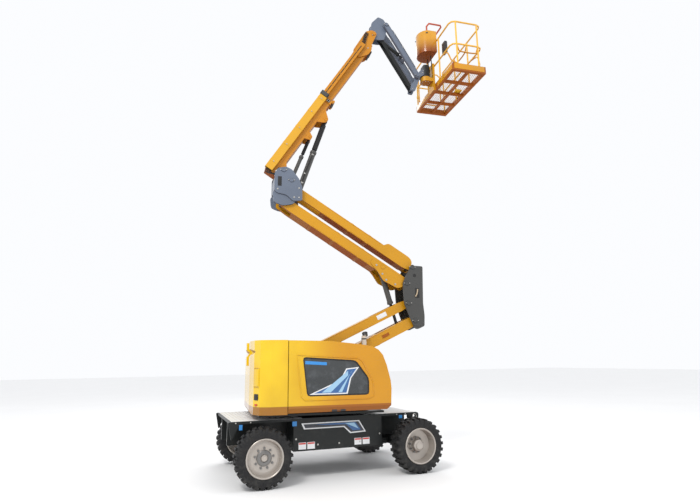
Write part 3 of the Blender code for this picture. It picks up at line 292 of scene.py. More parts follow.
# ---------------------------------------------------------------- finishes
@dataclass(frozen=True)
class Paint:
    """Sprayed paint: a slow change of tone, fine orange peel, dust low down and in patches, and painted shade
    on faces that turn downwards.

    Args:
        name: the material's name.
        colour: the paint.
        roughness: how dull it is.
        coat: how much clear coat lies on it.
        dust: how much dust has settled.
        metallic: how metallic it is.
        top: a paler colour that the paint turns to, or none; on the console the dark base colour and this
            gold top are painted shade and painted light.
        towards: the axis along which it turns, with the places where it starts and ends.
        under: how much painted shade darkens what faces down.
        foot: the height below which the paint is darkened with the same brown as the painted shade, or 0.
    """

    name: str
    colour: Colour
    roughness: float = 0.35
    coat: float = 0.25
    dust: float = 0.12
    metallic: float = 0.0
    top: Optional[Colour] = None
    towards: tuple[str, float, float] = ("Z", 0.0, 1.0)
    under: float = 0.3
    foot: float = 0.0

    DUST = (0.30, 0.27, 0.23)

    def make(self) -> bpy.types.Material:
        """Returns the material."""
        mixer = Mixer(self.name)
        base: Value = self.colour
        if self.top:
            axis, start, end = self.towards
            base = mixer.blend(self.colour, self.top, mixer.axis(axis).step(start, end))
        deep = tuple(0.72 * c for c in self.colour)
        # film is a painted shade colour: the dark brown for faces that turn downwards, also used for the band
        # below the foot height.
        film = (0.40 * self.colour[0], 0.20 * self.colour[1], 0.15 * self.colour[2])
        tone = mixer.noise(1.6, 2.0).step(0.35, 0.75)
        base = mixer.blend(base, deep, tone * 0.3)
        # Faces that turn downwards are painted darker, which is painted shade; they also lose their coat and
        # grow rougher.
        downwards = 1.0 - mixer.axis("Z", "Normal").step(-0.75, -0.15)
        base = mixer.blend(base, film, downwards * self.under)
        # Below the foot height the paint turns to the same dark brown.
        if self.foot:
            base = mixer.blend(base, film, (1.0 - mixer.axis("Z").step(self.foot - 0.012, self.foot)) * 0.8)
        patch = mixer.noise(7.0, 6.0, 0.6).step(0.45, 0.9)
        low = 1.0 - mixer.axis("Z").step(0.3, 1.6)
        dusty = patch * (0.35 + low * 0.65) * self.dust
        peel = mixer.noise(260.0, 1.0)
        mixer.set(Base_Color=mixer.blend(base, self.DUST, dusty), Metallic=self.metallic)
        dull = dusty * 0.9 + (mixer.noise(30.0) - 0.5) * 0.12 + downwards * 0.3
        mixer.set(Roughness=self.roughness + dull, Coat_Roughness=0.12, Specular_IOR_Level=0.28)
        mixer.set(Coat_Weight=(1.0 - downwards) * self.coat)
        mixer.bump(peel, 0.0012, 0.06)
        return mixer.material


@dataclass(frozen=True)
class Rubber:
    """Tyre and hose rubber: black with a grey bloom, and dust where it meets the ground."""

    name: str
    colour: Colour = (0.011, 0.011, 0.012)
    dust: float = 0.2

    def make(self) -> bpy.types.Material:
        """Returns the material."""
        mixer = Mixer(self.name)
        bloom = mixer.noise(14.0, 5.0, 0.7).step(0.42, 0.72)
        low = 1.0 - mixer.axis("Z").step(0.0, 0.9)
        dusty = (bloom * 0.35 + low * bloom * 0.65) * self.dust
        mixer.set(Base_Color=mixer.blend(self.colour, (0.20, 0.19, 0.17), dusty))
        mixer.set(Roughness=0.62 + bloom * 0.2, Specular_IOR_Level=0.35)
        mixer.bump(mixer.noise(420.0, 2.0), 0.001, 0.25)
        return mixer.material


@dataclass(frozen=True)
class BareMetal:
    """Ground, turned or plated metal, with fine marks along one axis."""

    name: str
    colour: Colour = (0.62, 0.61, 0.60)
    roughness: float = 0.22
    grain: float = 0.3

    def make(self) -> bpy.types.Material:
        """Returns the material."""
        mixer = Mixer(self.name)
        mapping = mixer.node("ShaderNodeMapping", {}, {"Vector": mixer.place, "Scale": (1.0, 60.0, 1.0)})
        lines = mixer.noise(24.0, 3.0, 0.6, mapping)
        stain = mixer.noise(6.0, 4.0).step(0.5, 0.8)
        dark = tuple(0.55 * c for c in self.colour)
        mixer.set(Base_Color=mixer.blend(self.colour, dark, stain * 0.5), Metallic=0.9)
        mixer.set(Roughness=self.roughness + lines * self.grain * 0.4 + stain * 0.15)
        mixer.bump(lines, 0.0004, self.grain)
        return mixer.material


@dataclass(frozen=True)
class Casting:
    """Rough cast metal under one coat of paint."""

    name: str
    colour: Colour
    roughness: float = 0.55

    def make(self) -> bpy.types.Material:
        """Returns the material."""
        mixer = Mixer(self.name)
        pits = mixer.noise(70.0, 4.0, 0.7)
        worn = mixer.noise(5.0, 5.0, 0.7).step(0.48, 0.8)
        grime = tuple(0.42 * c for c in self.colour)
        mixer.set(Base_Color=mixer.blend(self.colour, grime, worn * 0.55),
                  Roughness=self.roughness + pits * 0.2)
        mixer.bump(pits, 0.002, 0.35)
        return mixer.material


@dataclass(frozen=True)
class SmokedPane:
    """Dark acrylic pane with faint wipe marks."""

    name: str
    colour: Colour = (0.020, 0.024, 0.026)

    def make(self) -> bpy.types.Material:
        """Returns the material."""
        mixer = Mixer(self.name)
        smear = mixer.noise(7.0, 4.0, 0.6).step(0.45, 0.75)
        mixer.set(Base_Color=mixer.blend(self.colour, (0.10, 0.11, 0.12), smear * 0.35))
        mixer.set(Roughness=0.07 + smear * 0.16, Coat_Weight=0.8, Coat_Roughness=0.04)
        return mixer.material


@dataclass(frozen=True)
class Film:
    """A printed film: one flat ink with a slight fade, as stickers and stripes have."""

    name: str
    colour: Colour
    roughness: float = 0.32

    def make(self) -> bpy.types.Material:
        """Returns the material."""
        mixer = Mixer(self.name)
        fade = mixer.noise(11.0, 4.0, 0.6).step(0.4, 0.8)
        pale = tuple(0.8 * c + 0.08 for c in self.colour)
        mixer.set(Base_Color=mixer.blend(self.colour, pale, fade * 0.35),
                  Roughness=self.roughness + fade * 0.15)
        mixer.bump(mixer.noise(180.0, 1.0), 0.0004, 0.12)
        return mixer.material


@dataclass(frozen=True)
class Moulding:
    """Grained black plastic, as in latches, seals and boxes."""

    name: str
    colour: Colour = (0.022, 0.022, 0.024)
    roughness: float = 0.5

    def make(self) -> bpy.types.Material:
        """Returns the material."""
        mixer = Mixer(self.name)
        grain = mixer.node("ShaderNodeTexVoronoi", {}, {"Vector": mixer.place, "Scale": 420.0}, "Distance")
        scuff = mixer.noise(12.0, 4.0).step(0.5, 0.8)
        pale = tuple(min(1.0, 2.2 * c + 0.02) for c in self.colour)
        mixer.set(Base_Color=mixer.blend(self.colour, pale, scuff * 0.4),
                  Roughness=self.roughness + scuff * 0.15)
        mixer.bump(grain, 0.0006, 0.3)
        return mixer.material


class Finish(Enum):
    """Every finish on the machine."""

    # Each paint's under value sets how strongly its faces turned down are darkened: painted shade.
    COVER = Paint("cover_yellow", (0.58, 0.255, 0.004), 0.2, 0.55, 0.03, 0.0, (0.80, 0.53, 0.012),
                  ("X", 0.1, -1.2), 0.5, 1.11)
    ORANGE = Paint("structure_orange", (0.56, 0.265, 0.008), 0.34, 0.2, 0.05, under=0.85)
    BOOM_ORANGE = Paint("boom_orange", (0.52, 0.205, 0.010), 0.34, 0.2, 0.05, under=0.8)
    # deep_orange is a darker, redder orange, used as painted shade under the links and inside the slots; the
    # platform floor, its trim and the boom's rear cover are painted with it too.
    DEEP_ORANGE = Paint("deep_orange", (0.32, 0.085, 0.007), 0.5, 0.0, 0.05)
    PALE_YELLOW = Paint("trough_yellow", (0.64, 0.335, 0.022), 0.32, 0.25, 0.03)
    # The console runs from dark red low down to gold on top, by height: painted shade below, painted light
    # above.
    CONSOLE = Paint("console_gold", (0.26, 0.062, 0.006), 0.25, 0.5, 0.02, 0.0, (0.74, 0.36, 0.02),
                    ("Z", 8.10, 8.48))
    RAIL_YELLOW = Paint("rail_yellow", (0.82, 0.46, 0.06), 0.3, 0.4, 0.02)
    CHARCOAL = Paint("chassis_charcoal", (0.011, 0.013, 0.013), 0.42, 0.1, 0.06)
    GREY = Paint("riser_grey", (0.060, 0.060, 0.058), 0.42, 0.2, 0.06)
    BLUE_GREY = Paint("knuckle_blue_grey", (0.125, 0.150, 0.200), 0.36, 0.25, 0.05, under=0.6)
    BRIGHT_PLATE = Paint("deck_grey", (0.72, 0.72, 0.71), 0.38, 0.1, 0.08)
    RIM = Paint("rim_silver", (0.46, 0.42, 0.38), 0.34, 0.2, 0.15, 0.45)
    SLEEVE = Paint("exhaust_beige", (0.62, 0.55, 0.46), 0.4, 0.1, 0.15)
    TYRE = Rubber("tyre_rubber")
    HOSE = Rubber("hose_rubber", (0.014, 0.014, 0.015), 0.15)
    BOOT = Rubber("boot_rubber", (0.018, 0.018, 0.02), 0.1)
    CLEAR_HOSE = Moulding("hose_sleeve", (0.42, 0.33, 0.22), 0.45)
    RED_SLEEVE = Moulding("red_sleeve", (0.42, 0.06, 0.02), 0.42)
    DARK_ROD = BareMetal("rod_black", (0.035, 0.036, 0.04), 0.25, 0.2)
    ZINC = BareMetal("zinc_bolt", (0.50, 0.49, 0.46), 0.3, 0.35)
    HUB = BareMetal("hub_steel", (0.22, 0.215, 0.21), 0.34, 0.3)
    PIPE = BareMetal("exhaust_steel", (0.40, 0.37, 0.33), 0.42, 0.5)
    ENGINE = Casting("engine_block", (0.05, 0.05, 0.052))
    TANK = Moulding("tank_plastic", (0.03, 0.03, 0.032))
    PANE = SmokedPane("smoked_pane")
    BLACK = Moulding("black_plastic")
    SEAL = Moulding("seal_black", (0.012, 0.012, 0.013), 0.65)
    WHITE_FILM = Film("white_film", (0.72, 0.73, 0.74))
    BLUE_FILM = Film("blue_film", (0.035, 0.115, 0.30))
    TAG_FILM = Film("tag_film", (0.03, 0.24, 0.62))
    SKY_FILM = Film("sky_film", (0.30, 0.50, 0.68))
    RED_FILM = Film("red_film", (0.55, 0.04, 0.03))
    YELLOW_FILM = Film("yellow_film", (0.80, 0.52, 0.03))
    DARK_FILM = Film("dark_film", (0.03, 0.035, 0.045))

    @property
    def material(self) -> bpy.types.Material:
        """The finish's material, made once."""
        return bpy.data.materials.get(self.value.name) or self.value.make()


CAD_FINISH: dict[Finish, Sequence[str]] = {
    Finish.CHARCOAL: ("chassis_frame", "steer_axle", "drive_axle", "steer_knuckle_near", "steer_knuckle_far",
                      "turntable_deck", "jib_link", "rotator", "jib_cylinder_barrel"),
    Finish.GREY: ("slew_ring", "turret_tower", "riser_upright", "tower_cylinder_barrel",
                  "lift_cylinder_barrel",
                  "level_cylinder_barrel"),
    Finish.BLUE_GREY: ("upper_knuckle", "jib_knuckle", "jib_arm", "jib_end"),
    Finish.COVER: ("near_hood", "far_hood", "counterweight", "control_console"),
    Finish.ORANGE: ("lower_riser_main", "lower_riser_tie", "upper_riser_main", "upper_riser_tie",
                    "platform_yoke"),
    Finish.DEEP_ORANGE: ("platform_floor",),
    Finish.RAIL_YELLOW: ("platform_rails", "platform_gate"),
    Finish.BOOM_ORANGE: ("boom_base", "boom_fly", "boom_head", "cable_carrier"),
    Finish.PALE_YELLOW: ("cable_trough",),
    Finish.RIM: ("rim_steer_near", "rim_steer_far", "rim_drive_near", "rim_drive_far"),
    Finish.TYRE: ("tyre_steer_near", "tyre_steer_far", "tyre_drive_near", "tyre_drive_far"),
    Finish.DARK_ROD: ("tower_cylinder_rod", "lift_cylinder_rod", "level_cylinder_rod", "jib_cylinder_rod"),
    Finish.PIPE: ("exhaust_pipe",),
    Finish.ENGINE: ("engine_block",),
    Finish.TANK: ("tank_block",),
    Finish.PANE: ("near_window", "far_window"),
}


def dress_nodes() -> None:
    """Gives every solid node its finish."""
    for finish, names in CAD_FINISH.items():
        for name in names:
            NODES[name].data.materials.clear()
            NODES[name].data.materials.append(finish.material)
    LOG.info("dressed %d solid nodes", sum(len(names) for names in CAD_FINISH.values()))


# ---------------------------------------------------------------- stage
@dataclass
class Studio:
    """Pale floor, soft lamps and the camera."""

    lens: float = 25.73
    camera_at: Point = (-2.828, -8.626, 1.783)
    heading: float = 21.27      # degrees from +Y towards +X
    rise: float = 12.12
    roll: float = -0.76
    floor_size: float = 120.0

    def floor(self) -> None:
        """Lays the floor."""
        bpy.ops.object.select_all(action="DESELECT")
        bpy.ops.mesh.primitive_plane_add(size=self.floor_size, location=(0.0, 0.0, 0.0))
        ground = bpy.context.object
        ground.name = "studio_floor"
        mixer = Mixer("studio_floor")
        cloud = mixer.noise(0.5, 2.0)
        mixer.set(Base_Color=mixer.blend((0.88, 0.88, 0.88), (0.92, 0.92, 0.92), cloud), Roughness=0.9)
        ground.data.materials.append(mixer.material)

    def lamp(self, name: str, at: Point, size: float, power: float, warmth: Colour) -> None:
        """Adds one soft lamp that shines at the machine.

        Args:
            name: the lamp's name.
            at: its place.
            size: its side in metres.
            power: its power in watts.
            warmth: its colour.
        """
        light = bpy.data.lights.new(name, "AREA")
        light.size = size
        light.energy = power
        light.color = warmth
        lamp = bpy.data.objects.new(name, light)
        lamp.location = at
        lamp.rotation_euler = (Vector((0.6, 0.0, 3.6)) - Vector(at)).to_track_quat("-Z", "Y").to_euler()
        bpy.context.scene.collection.objects.link(lamp)

    def sky(self) -> None:
        """Fills the surroundings with even white light."""
        world = bpy.data.worlds.new("studio_sky")
        world.use_nodes = True
        world.node_tree.nodes["Background"].inputs["Color"].default_value = (0.97, 0.98, 1.0, 1.0)
        world.node_tree.nodes["Background"].inputs["Strength"].default_value = 1.0
        bpy.context.scene.world = world

    def camera(self) -> None:
        """Stands the camera near the ground, ahead of the steered end."""
        heading, rise = math.radians(self.heading), math.radians(self.rise)
        right = Vector((math.cos(heading), -math.sin(heading), 0.0))
        forward = Vector((math.sin(heading) * math.cos(rise), math.cos(heading) * math.cos(rise),
                          math.sin(rise)))
        up = right.cross(forward)
        roll = math.radians(self.roll)
        turned_right = right * math.cos(roll) + up * math.sin(roll)
        turned_up = up * math.cos(roll) - right * math.sin(roll)
        data = bpy.data.cameras.new("studio_camera")
        data.lens = self.lens
        data.sensor_width = 36.0
        camera = bpy.data.objects.new("studio_camera", data)
        turn = Matrix((turned_right, turned_up, -forward)).transposed().to_4x4()
        camera.matrix_world = Matrix.Translation(self.camera_at) @ turn
        bpy.context.scene.collection.objects.link(camera)
        bpy.context.scene.camera = camera

    def build(self) -> None:
        """Sets the whole stage."""
        self.floor()
        self.sky()
        self.lamp("key_lamp", (-8.0, -9.0, 13.0), 4.0, 1150.0, (1.0, 0.98, 0.95))
        self.lamp("fill_lamp", (10.0, -8.0, 7.0), 6.0, 120.0, (0.94, 0.97, 1.0))
        self.lamp("rim_lamp", (3.0, 12.0, 13.0), 6.0, 300.0, (1.0, 1.0, 1.0))
        self.camera()
        bpy.context.scene.view_settings.view_transform = "Standard"
        LOG.info("set the stage")


# ---------------------------------------------------------------- bench
class Bench:
    """The tools that shape every small piece."""

    @staticmethod
    def take(*pieces: bpy.types.Object) -> None:
        """Selects these pieces alone, with the first active."""
        bpy.ops.object.select_all(action="DESELECT")
        for piece in pieces:
            piece.select_set(True)
        bpy.context.view_layer.objects.active = pieces[0]

    @staticmethod
    def modify(piece: bpy.types.Object, kind: str, **settings: object) -> bpy.types.Object:
        """Adds a modifier with these settings, and applies it.

        Args:
            piece: what it works on.
            kind: the modifier's type.
            settings: its properties.

        Returns:
            The piece.
        """
        Bench.take(piece)
        modifier = piece.modifiers.new(kind.lower(), kind)
        for key, value in settings.items():
            setattr(modifier, key, value)
        bpy.ops.object.modifier_apply(modifier=modifier.name)
        return piece

    @staticmethod
    def rounded(piece: bpy.types.Object, width: float, segments: int = 2) -> bpy.types.Object:
        """Rounds the piece's sharp edges by a width."""
        if width > 0.0:
            Bench.modify(piece, "BEVEL", width=width, segments=segments, limit_method="ANGLE",
                         angle_limit=0.6)
        return piece

    @staticmethod
    def pick(piece: bpy.types.Object, test: Callable[[Vector, Vector], bool]) -> None:
        """Opens the piece in edit mode with only the faces that pass a test selected.

        Args:
            piece: what is edited.
            test: says yes to a face's centre and normal.
        """
        Bench.take(piece)
        for part in (piece.data.vertices, piece.data.edges, piece.data.polygons):
            part.foreach_set("select", [False] * len(part))
        for polygon in piece.data.polygons:
            polygon.select = test(polygon.center, polygon.normal)
        bpy.ops.object.mode_set(mode="EDIT")
        bpy.ops.mesh.select_mode(type="FACE")

    @staticmethod
    def block(x: Point, y: Point, z: Point, bevel: float = 0.0) -> bpy.types.Object:
        """A block between two values on each axis, with its edges rounded."""
        spans = (x, y, z)
        bpy.ops.object.select_all(action="DESELECT")
        bpy.ops.mesh.primitive_cube_add(size=1.0, location=[(low + high) / 2 for low, high in spans])
        piece = bpy.context.object
        piece.scale = [abs(high - low) for low, high in spans]
        bpy.ops.object.transform_apply(location=True, rotation=True, scale=True)
        return Bench.rounded(piece, bevel)

    @staticmethod
    def drum(start: Point, end: Point, radius: float, sides: int = 20, bevel: float = 0.0,
             dish: tuple[float, float] = (0.0, 0.0)) -> bpy.types.Object:
        """A round bar from one point to another.

        Args:
            start: centre of its first end.
            end: centre of its second end.
            radius: its radius.
            sides: how many faces go round.
            bevel: how much its rims are rounded.
            dish: how far in from the rim its second end is sunk, and how deep.

        Returns:
            The bar.
        """
        first, last = Vector(start), Vector(end)
        along = last - first
        bpy.ops.object.select_all(action="DESELECT")
        bpy.ops.mesh.primitive_cylinder_add(vertices=sides, radius=radius, depth=along.length)
        piece = bpy.context.object
        if dish[0] > 0.0:
            Bench.pick(piece, lambda centre, normal: normal.z > 0.9)
            bpy.ops.mesh.inset(thickness=dish[0])
            bpy.ops.mesh.extrude_region_move(TRANSFORM_OT_translate={"value": (0.0, 0.0, -dish[1])})
            bpy.ops.object.mode_set(mode="OBJECT")
        Bench.rounded(piece, bevel)
        piece.matrix_world = Matrix.Translation((first + last) / 2) @ along.to_track_quat("Z",
                "Y").to_matrix().to_4x4()
        Bench.take(piece)
        bpy.ops.object.transform_apply(location=True, rotation=True, scale=True)
        return piece

    @staticmethod
    def curve(points: Sequence[Point], closed: bool = False, flat: bool = False) -> bpy.types.Object:
        """A curve object through points.

        Args:
            points: the places it passes.
            closed: whether it ends where it starts.
            flat: whether it is a filled flat outline.

        Returns:
            The curve object.
        """
        data = bpy.data.curves.new("line", "CURVE")
        data.dimensions = "2D" if flat else "3D"
        spline = data.splines.new("POLY")
        spline.points.add(len(points) - 1)
        for target, place in zip(spline.points, points):
            target.co = (*place, *[0.0] * (3 - len(place)), 1.0)
        spline.use_cyclic_u = closed
        piece = bpy.data.objects.new("line", data)
        bpy.context.scene.collection.objects.link(piece)
        return piece

    @staticmethod
    def meshed(piece: bpy.types.Object) -> bpy.types.Object:
        """Turns a curve object into a closed mesh."""
        Bench.take(piece)
        bpy.ops.object.convert(target="MESH")
        piece = bpy.context.object
        bpy.ops.object.mode_set(mode="EDIT")
        bpy.ops.mesh.select_all(action="SELECT")
        bpy.ops.mesh.remove_doubles(threshold=0.00001)
        bpy.ops.mesh.normals_make_consistent(inside=False)
        bpy.ops.object.mode_set(mode="OBJECT")
        return piece

    @staticmethod
    def plate(outline: Sequence[Point], low: float, high: float, plane: str = "XZ",
              bevel: float = 0.0) -> bpy.types.Object:
        """A flat plate cut to an outline.

        Args:
            outline: its corners in its plane.
            low: where its thickness starts on the third axis.
            high: where it ends.
            plane: the two axes of the outline.
            bevel: how much its edges are rounded.

        Returns:
            The plate.
        """
        piece = Bench.curve(outline, closed=True, flat=True)
        piece.data.fill_mode = "BOTH"
        piece.data.extrude = abs(high - low) / 2
        piece = Bench.meshed(piece)
        middle = (low + high) / 2
        turns = {
            "XY": Matrix.Identity(4),
            "XZ": Matrix(((1, 0, 0, 0), (0, 0, -1, 0), (0, 1, 0, 0), (0, 0, 0, 1))),
            "YZ": Matrix(((0, 0, 1, 0), (1, 0, 0, 0), (0, 1, 0, 0), (0, 0, 0, 1))),
        }
        shift = {"XY": (0, 0, middle), "XZ": (0, middle, 0), "YZ": (middle, 0, 0)}[plane]
        piece.data.transform(Matrix.Translation(shift) @ turns[plane])
        return Bench.rounded(piece, bevel)

    @staticmethod
    def eased(points: Sequence[Point], steps: int = 6) -> list[Vector]:
        """A smooth line through points.

        Args:
            points: the places it passes.
            steps: how many pieces lie between two of them.

        Returns:
            The points of the smooth line.
        """
        places = [Vector(point) for point in points]
        padded = [2 * places[0] - places[1], *places, 2 * places[-1] - places[-2]]
        line = []
        for a, b, c, d in zip(padded, padded[1:], padded[2:], padded[3:]):
            for i in range(steps):
                t = i / steps
                bend = (2 * a - 5 * b + 4 * c - d) * t * t + (3 * b - a - 3 * c + d) * t * t * t
                line.append(0.5 * (2 * b + (c - a) * t + bend))
        return [*line, places[-1]]

    @staticmethod
    def hose(points: Sequence[Point], radius: float, smooth: bool = True, closed: bool = False,
             sides: int = 2) -> bpy.types.Object:
        """A round hose, wire or tube through points.

        Args:
            points: the places it passes.
            radius: its radius.
            smooth: whether it bends softly between them.
            closed: whether it is a loop.
            sides: how finely it is rounded.

        Returns:
            The hose.
        """
        piece = Bench.curve(Bench.eased(points) if smooth else points, closed)
        piece.data.bevel_depth = radius
        piece.data.bevel_resolution = sides
        piece.data.use_fill_caps = not closed
        return Bench.meshed(piece)

    @staticmethod
    def turned(profile: Sequence[tuple[float, float]], steps: int = 48) -> bpy.types.Object:
        """A profile of radius and place along Y, spun about the Y axis.

        Args:
            profile: radius and y of each point.
            steps: how many faces go round.

        Returns:
            The turned piece.
        """
        piece = Bench.curve([(radius, y, 0.0) for radius, y in profile])
        Bench.take(piece)
        bpy.ops.object.convert(target="MESH")
        piece = bpy.context.object
        bpy.ops.object.mode_set(mode="EDIT")
        bpy.ops.mesh.select_all(action="SELECT")
        bpy.ops.mesh.spin(steps=steps, angle=math.tau, center=(0, 0, 0), axis=(0, 1, 0))
        bpy.ops.mesh.select_all(action="SELECT")
        bpy.ops.mesh.remove_doubles(threshold=0.00005)
        bpy.ops.mesh.normals_make_consistent(inside=False)
        bpy.ops.object.mode_set(mode="OBJECT")
        return piece

    @staticmethod
    def copies(pattern: bpy.types.Object, places: Iterable[Matrix],
               mirrored: bool = False) -> bpy.types.Object:
        """Joins copies of one pattern, and removes the pattern.

        Args:
            pattern: what is repeated.
            places: where each copy goes.
            mirrored: whether the places turn it inside out.

        Returns:
            All the copies as one piece.
        """
        made = []
        for place in places:
            copy = bpy.data.objects.new("copy", pattern.data.copy())
            copy.data.transform(place)
            if mirrored:
                copy.data.flip_normals()
            bpy.context.scene.collection.objects.link(copy)
            made.append(copy)
        bpy.data.objects.remove(pattern)
        return Bench.joined(made)

    @staticmethod
    def joined(pieces: Sequence[bpy.types.Object]) -> bpy.types.Object:
        """Makes several pieces one."""
        Bench.take(*pieces)
        if len(pieces) > 1:
            bpy.ops.object.join()
        return bpy.context.object

    @staticmethod
    def settle(name: str, body: str, finish: Finish, where: Matrix, *pieces: bpy.types.Object, slot: str = "",
               crease: float = 32.0) -> bpy.types.Object:
        """Joins pieces made in one frame, puts them in place and hangs them on a body.

        Args:
            name: the finished piece's name.
            body: what it moves with.
            finish: how it is finished.
            where: the frame that they were made in.
            pieces: the pieces.
            slot: not used.
            crease: the angle in degrees past which an edge stays sharp.

        Returns:
            The finished piece.
        """
        piece = Bench.joined(pieces)
        piece.name = piece.data.name = name
        piece.data.transform(where @ piece.matrix_world)
        piece.matrix_world = Matrix.Identity(4)
        piece.data.materials.clear()
        piece.data.materials.append(finish.material)
        Bench.take(piece)
        bpy.ops.object.shade_smooth_by_angle(angle=math.radians(crease))
        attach(piece, body)
        LOG.info("built %s: %d faces", name, len(piece.data.polygons))
        return piece


def span(side: int, inner: float, outer: float) -> list[float]:
    """Two distances from the middle plane, on one side of it, as a rising pair."""
    return sorted((side * inner, side * outer))


def ring(count: int, radius: float, first: float = 0.0) -> list[Matrix]:
    """Places round the Y axis, each turned with its place.

    Args:
        count: how many.
        radius: their distance from the axis.
        first: angle of the first in degrees.

    Returns:
        The places, each with its z pointing outwards.
    """
    turns = [math.radians(first + 360.0 * i / count) for i in range(count)]
    return [Matrix.Rotation(turn, 4, "Y") @ Matrix.Translation((0.0, 0.0, radius)) for turn in turns]


def bolt(at: Point, towards: Point, radius: float = 0.011, height: float = 0.008) -> bpy.types.Object:
    """A hexagon bolt head on its washer.

    Args:
        at: centre of the washer's underside.
        towards: the way that the bolt points out.
        radius: the head's radius.
        height: the head's height.

    Returns:
        The bolt head.
    """
    base, out = Vector(at), Vector(towards).normalized()
    washer = Bench.drum(base, base + out * 0.002, radius * 1.35, 16)
    head = Bench.drum(base + out * 0.002, base + out * (0.002 + height), radius, 6, 0.0,
                      (radius * 0.3, 0.001))
    return Bench.joined([head, washer])


def pin_caps(name: str, body: str, where: Matrix, places: Sequence[Point], half: float, radius: float,
             finish: Finish) -> None:
    """Keeper caps on both ends of pins: a dished disc with two bolts on its keeper bar.

    Args:
        name: the piece's name.
        body: what they ride on.
        where: the frame of the places.
        places: x and z of each pin.
        half: half the pin's length.
        radius: the cap's radius.
        finish: the cap's finish.
    """
    caps, bolts = [], []
    for x, z in places:
        for side in (-1, 1):
            y = side * half
            caps.append(Bench.drum((x, y, z), (x, y + side * 0.012, z), radius, 24, 0.002,
                                   (radius * 0.3, 0.003)))
            reach = radius + 0.022
            bar = sorted((y - side * 0.002, y + side * 0.006))
            caps.append(Bench.block((x - reach, x + reach), bar, (z - 0.012, z + 0.012), 0.003))
            for step in (-1, 1):
                bolts.append(bolt((x + step * (reach - 0.010), y + side * 0.006, z), (0, side, 0), 0.007,
                                  0.005))
    Bench.settle(name, body, finish, where, *caps, slot="dark")
    Bench.settle(name + "_bolts", body, Finish.ZINC, where, *bolts)


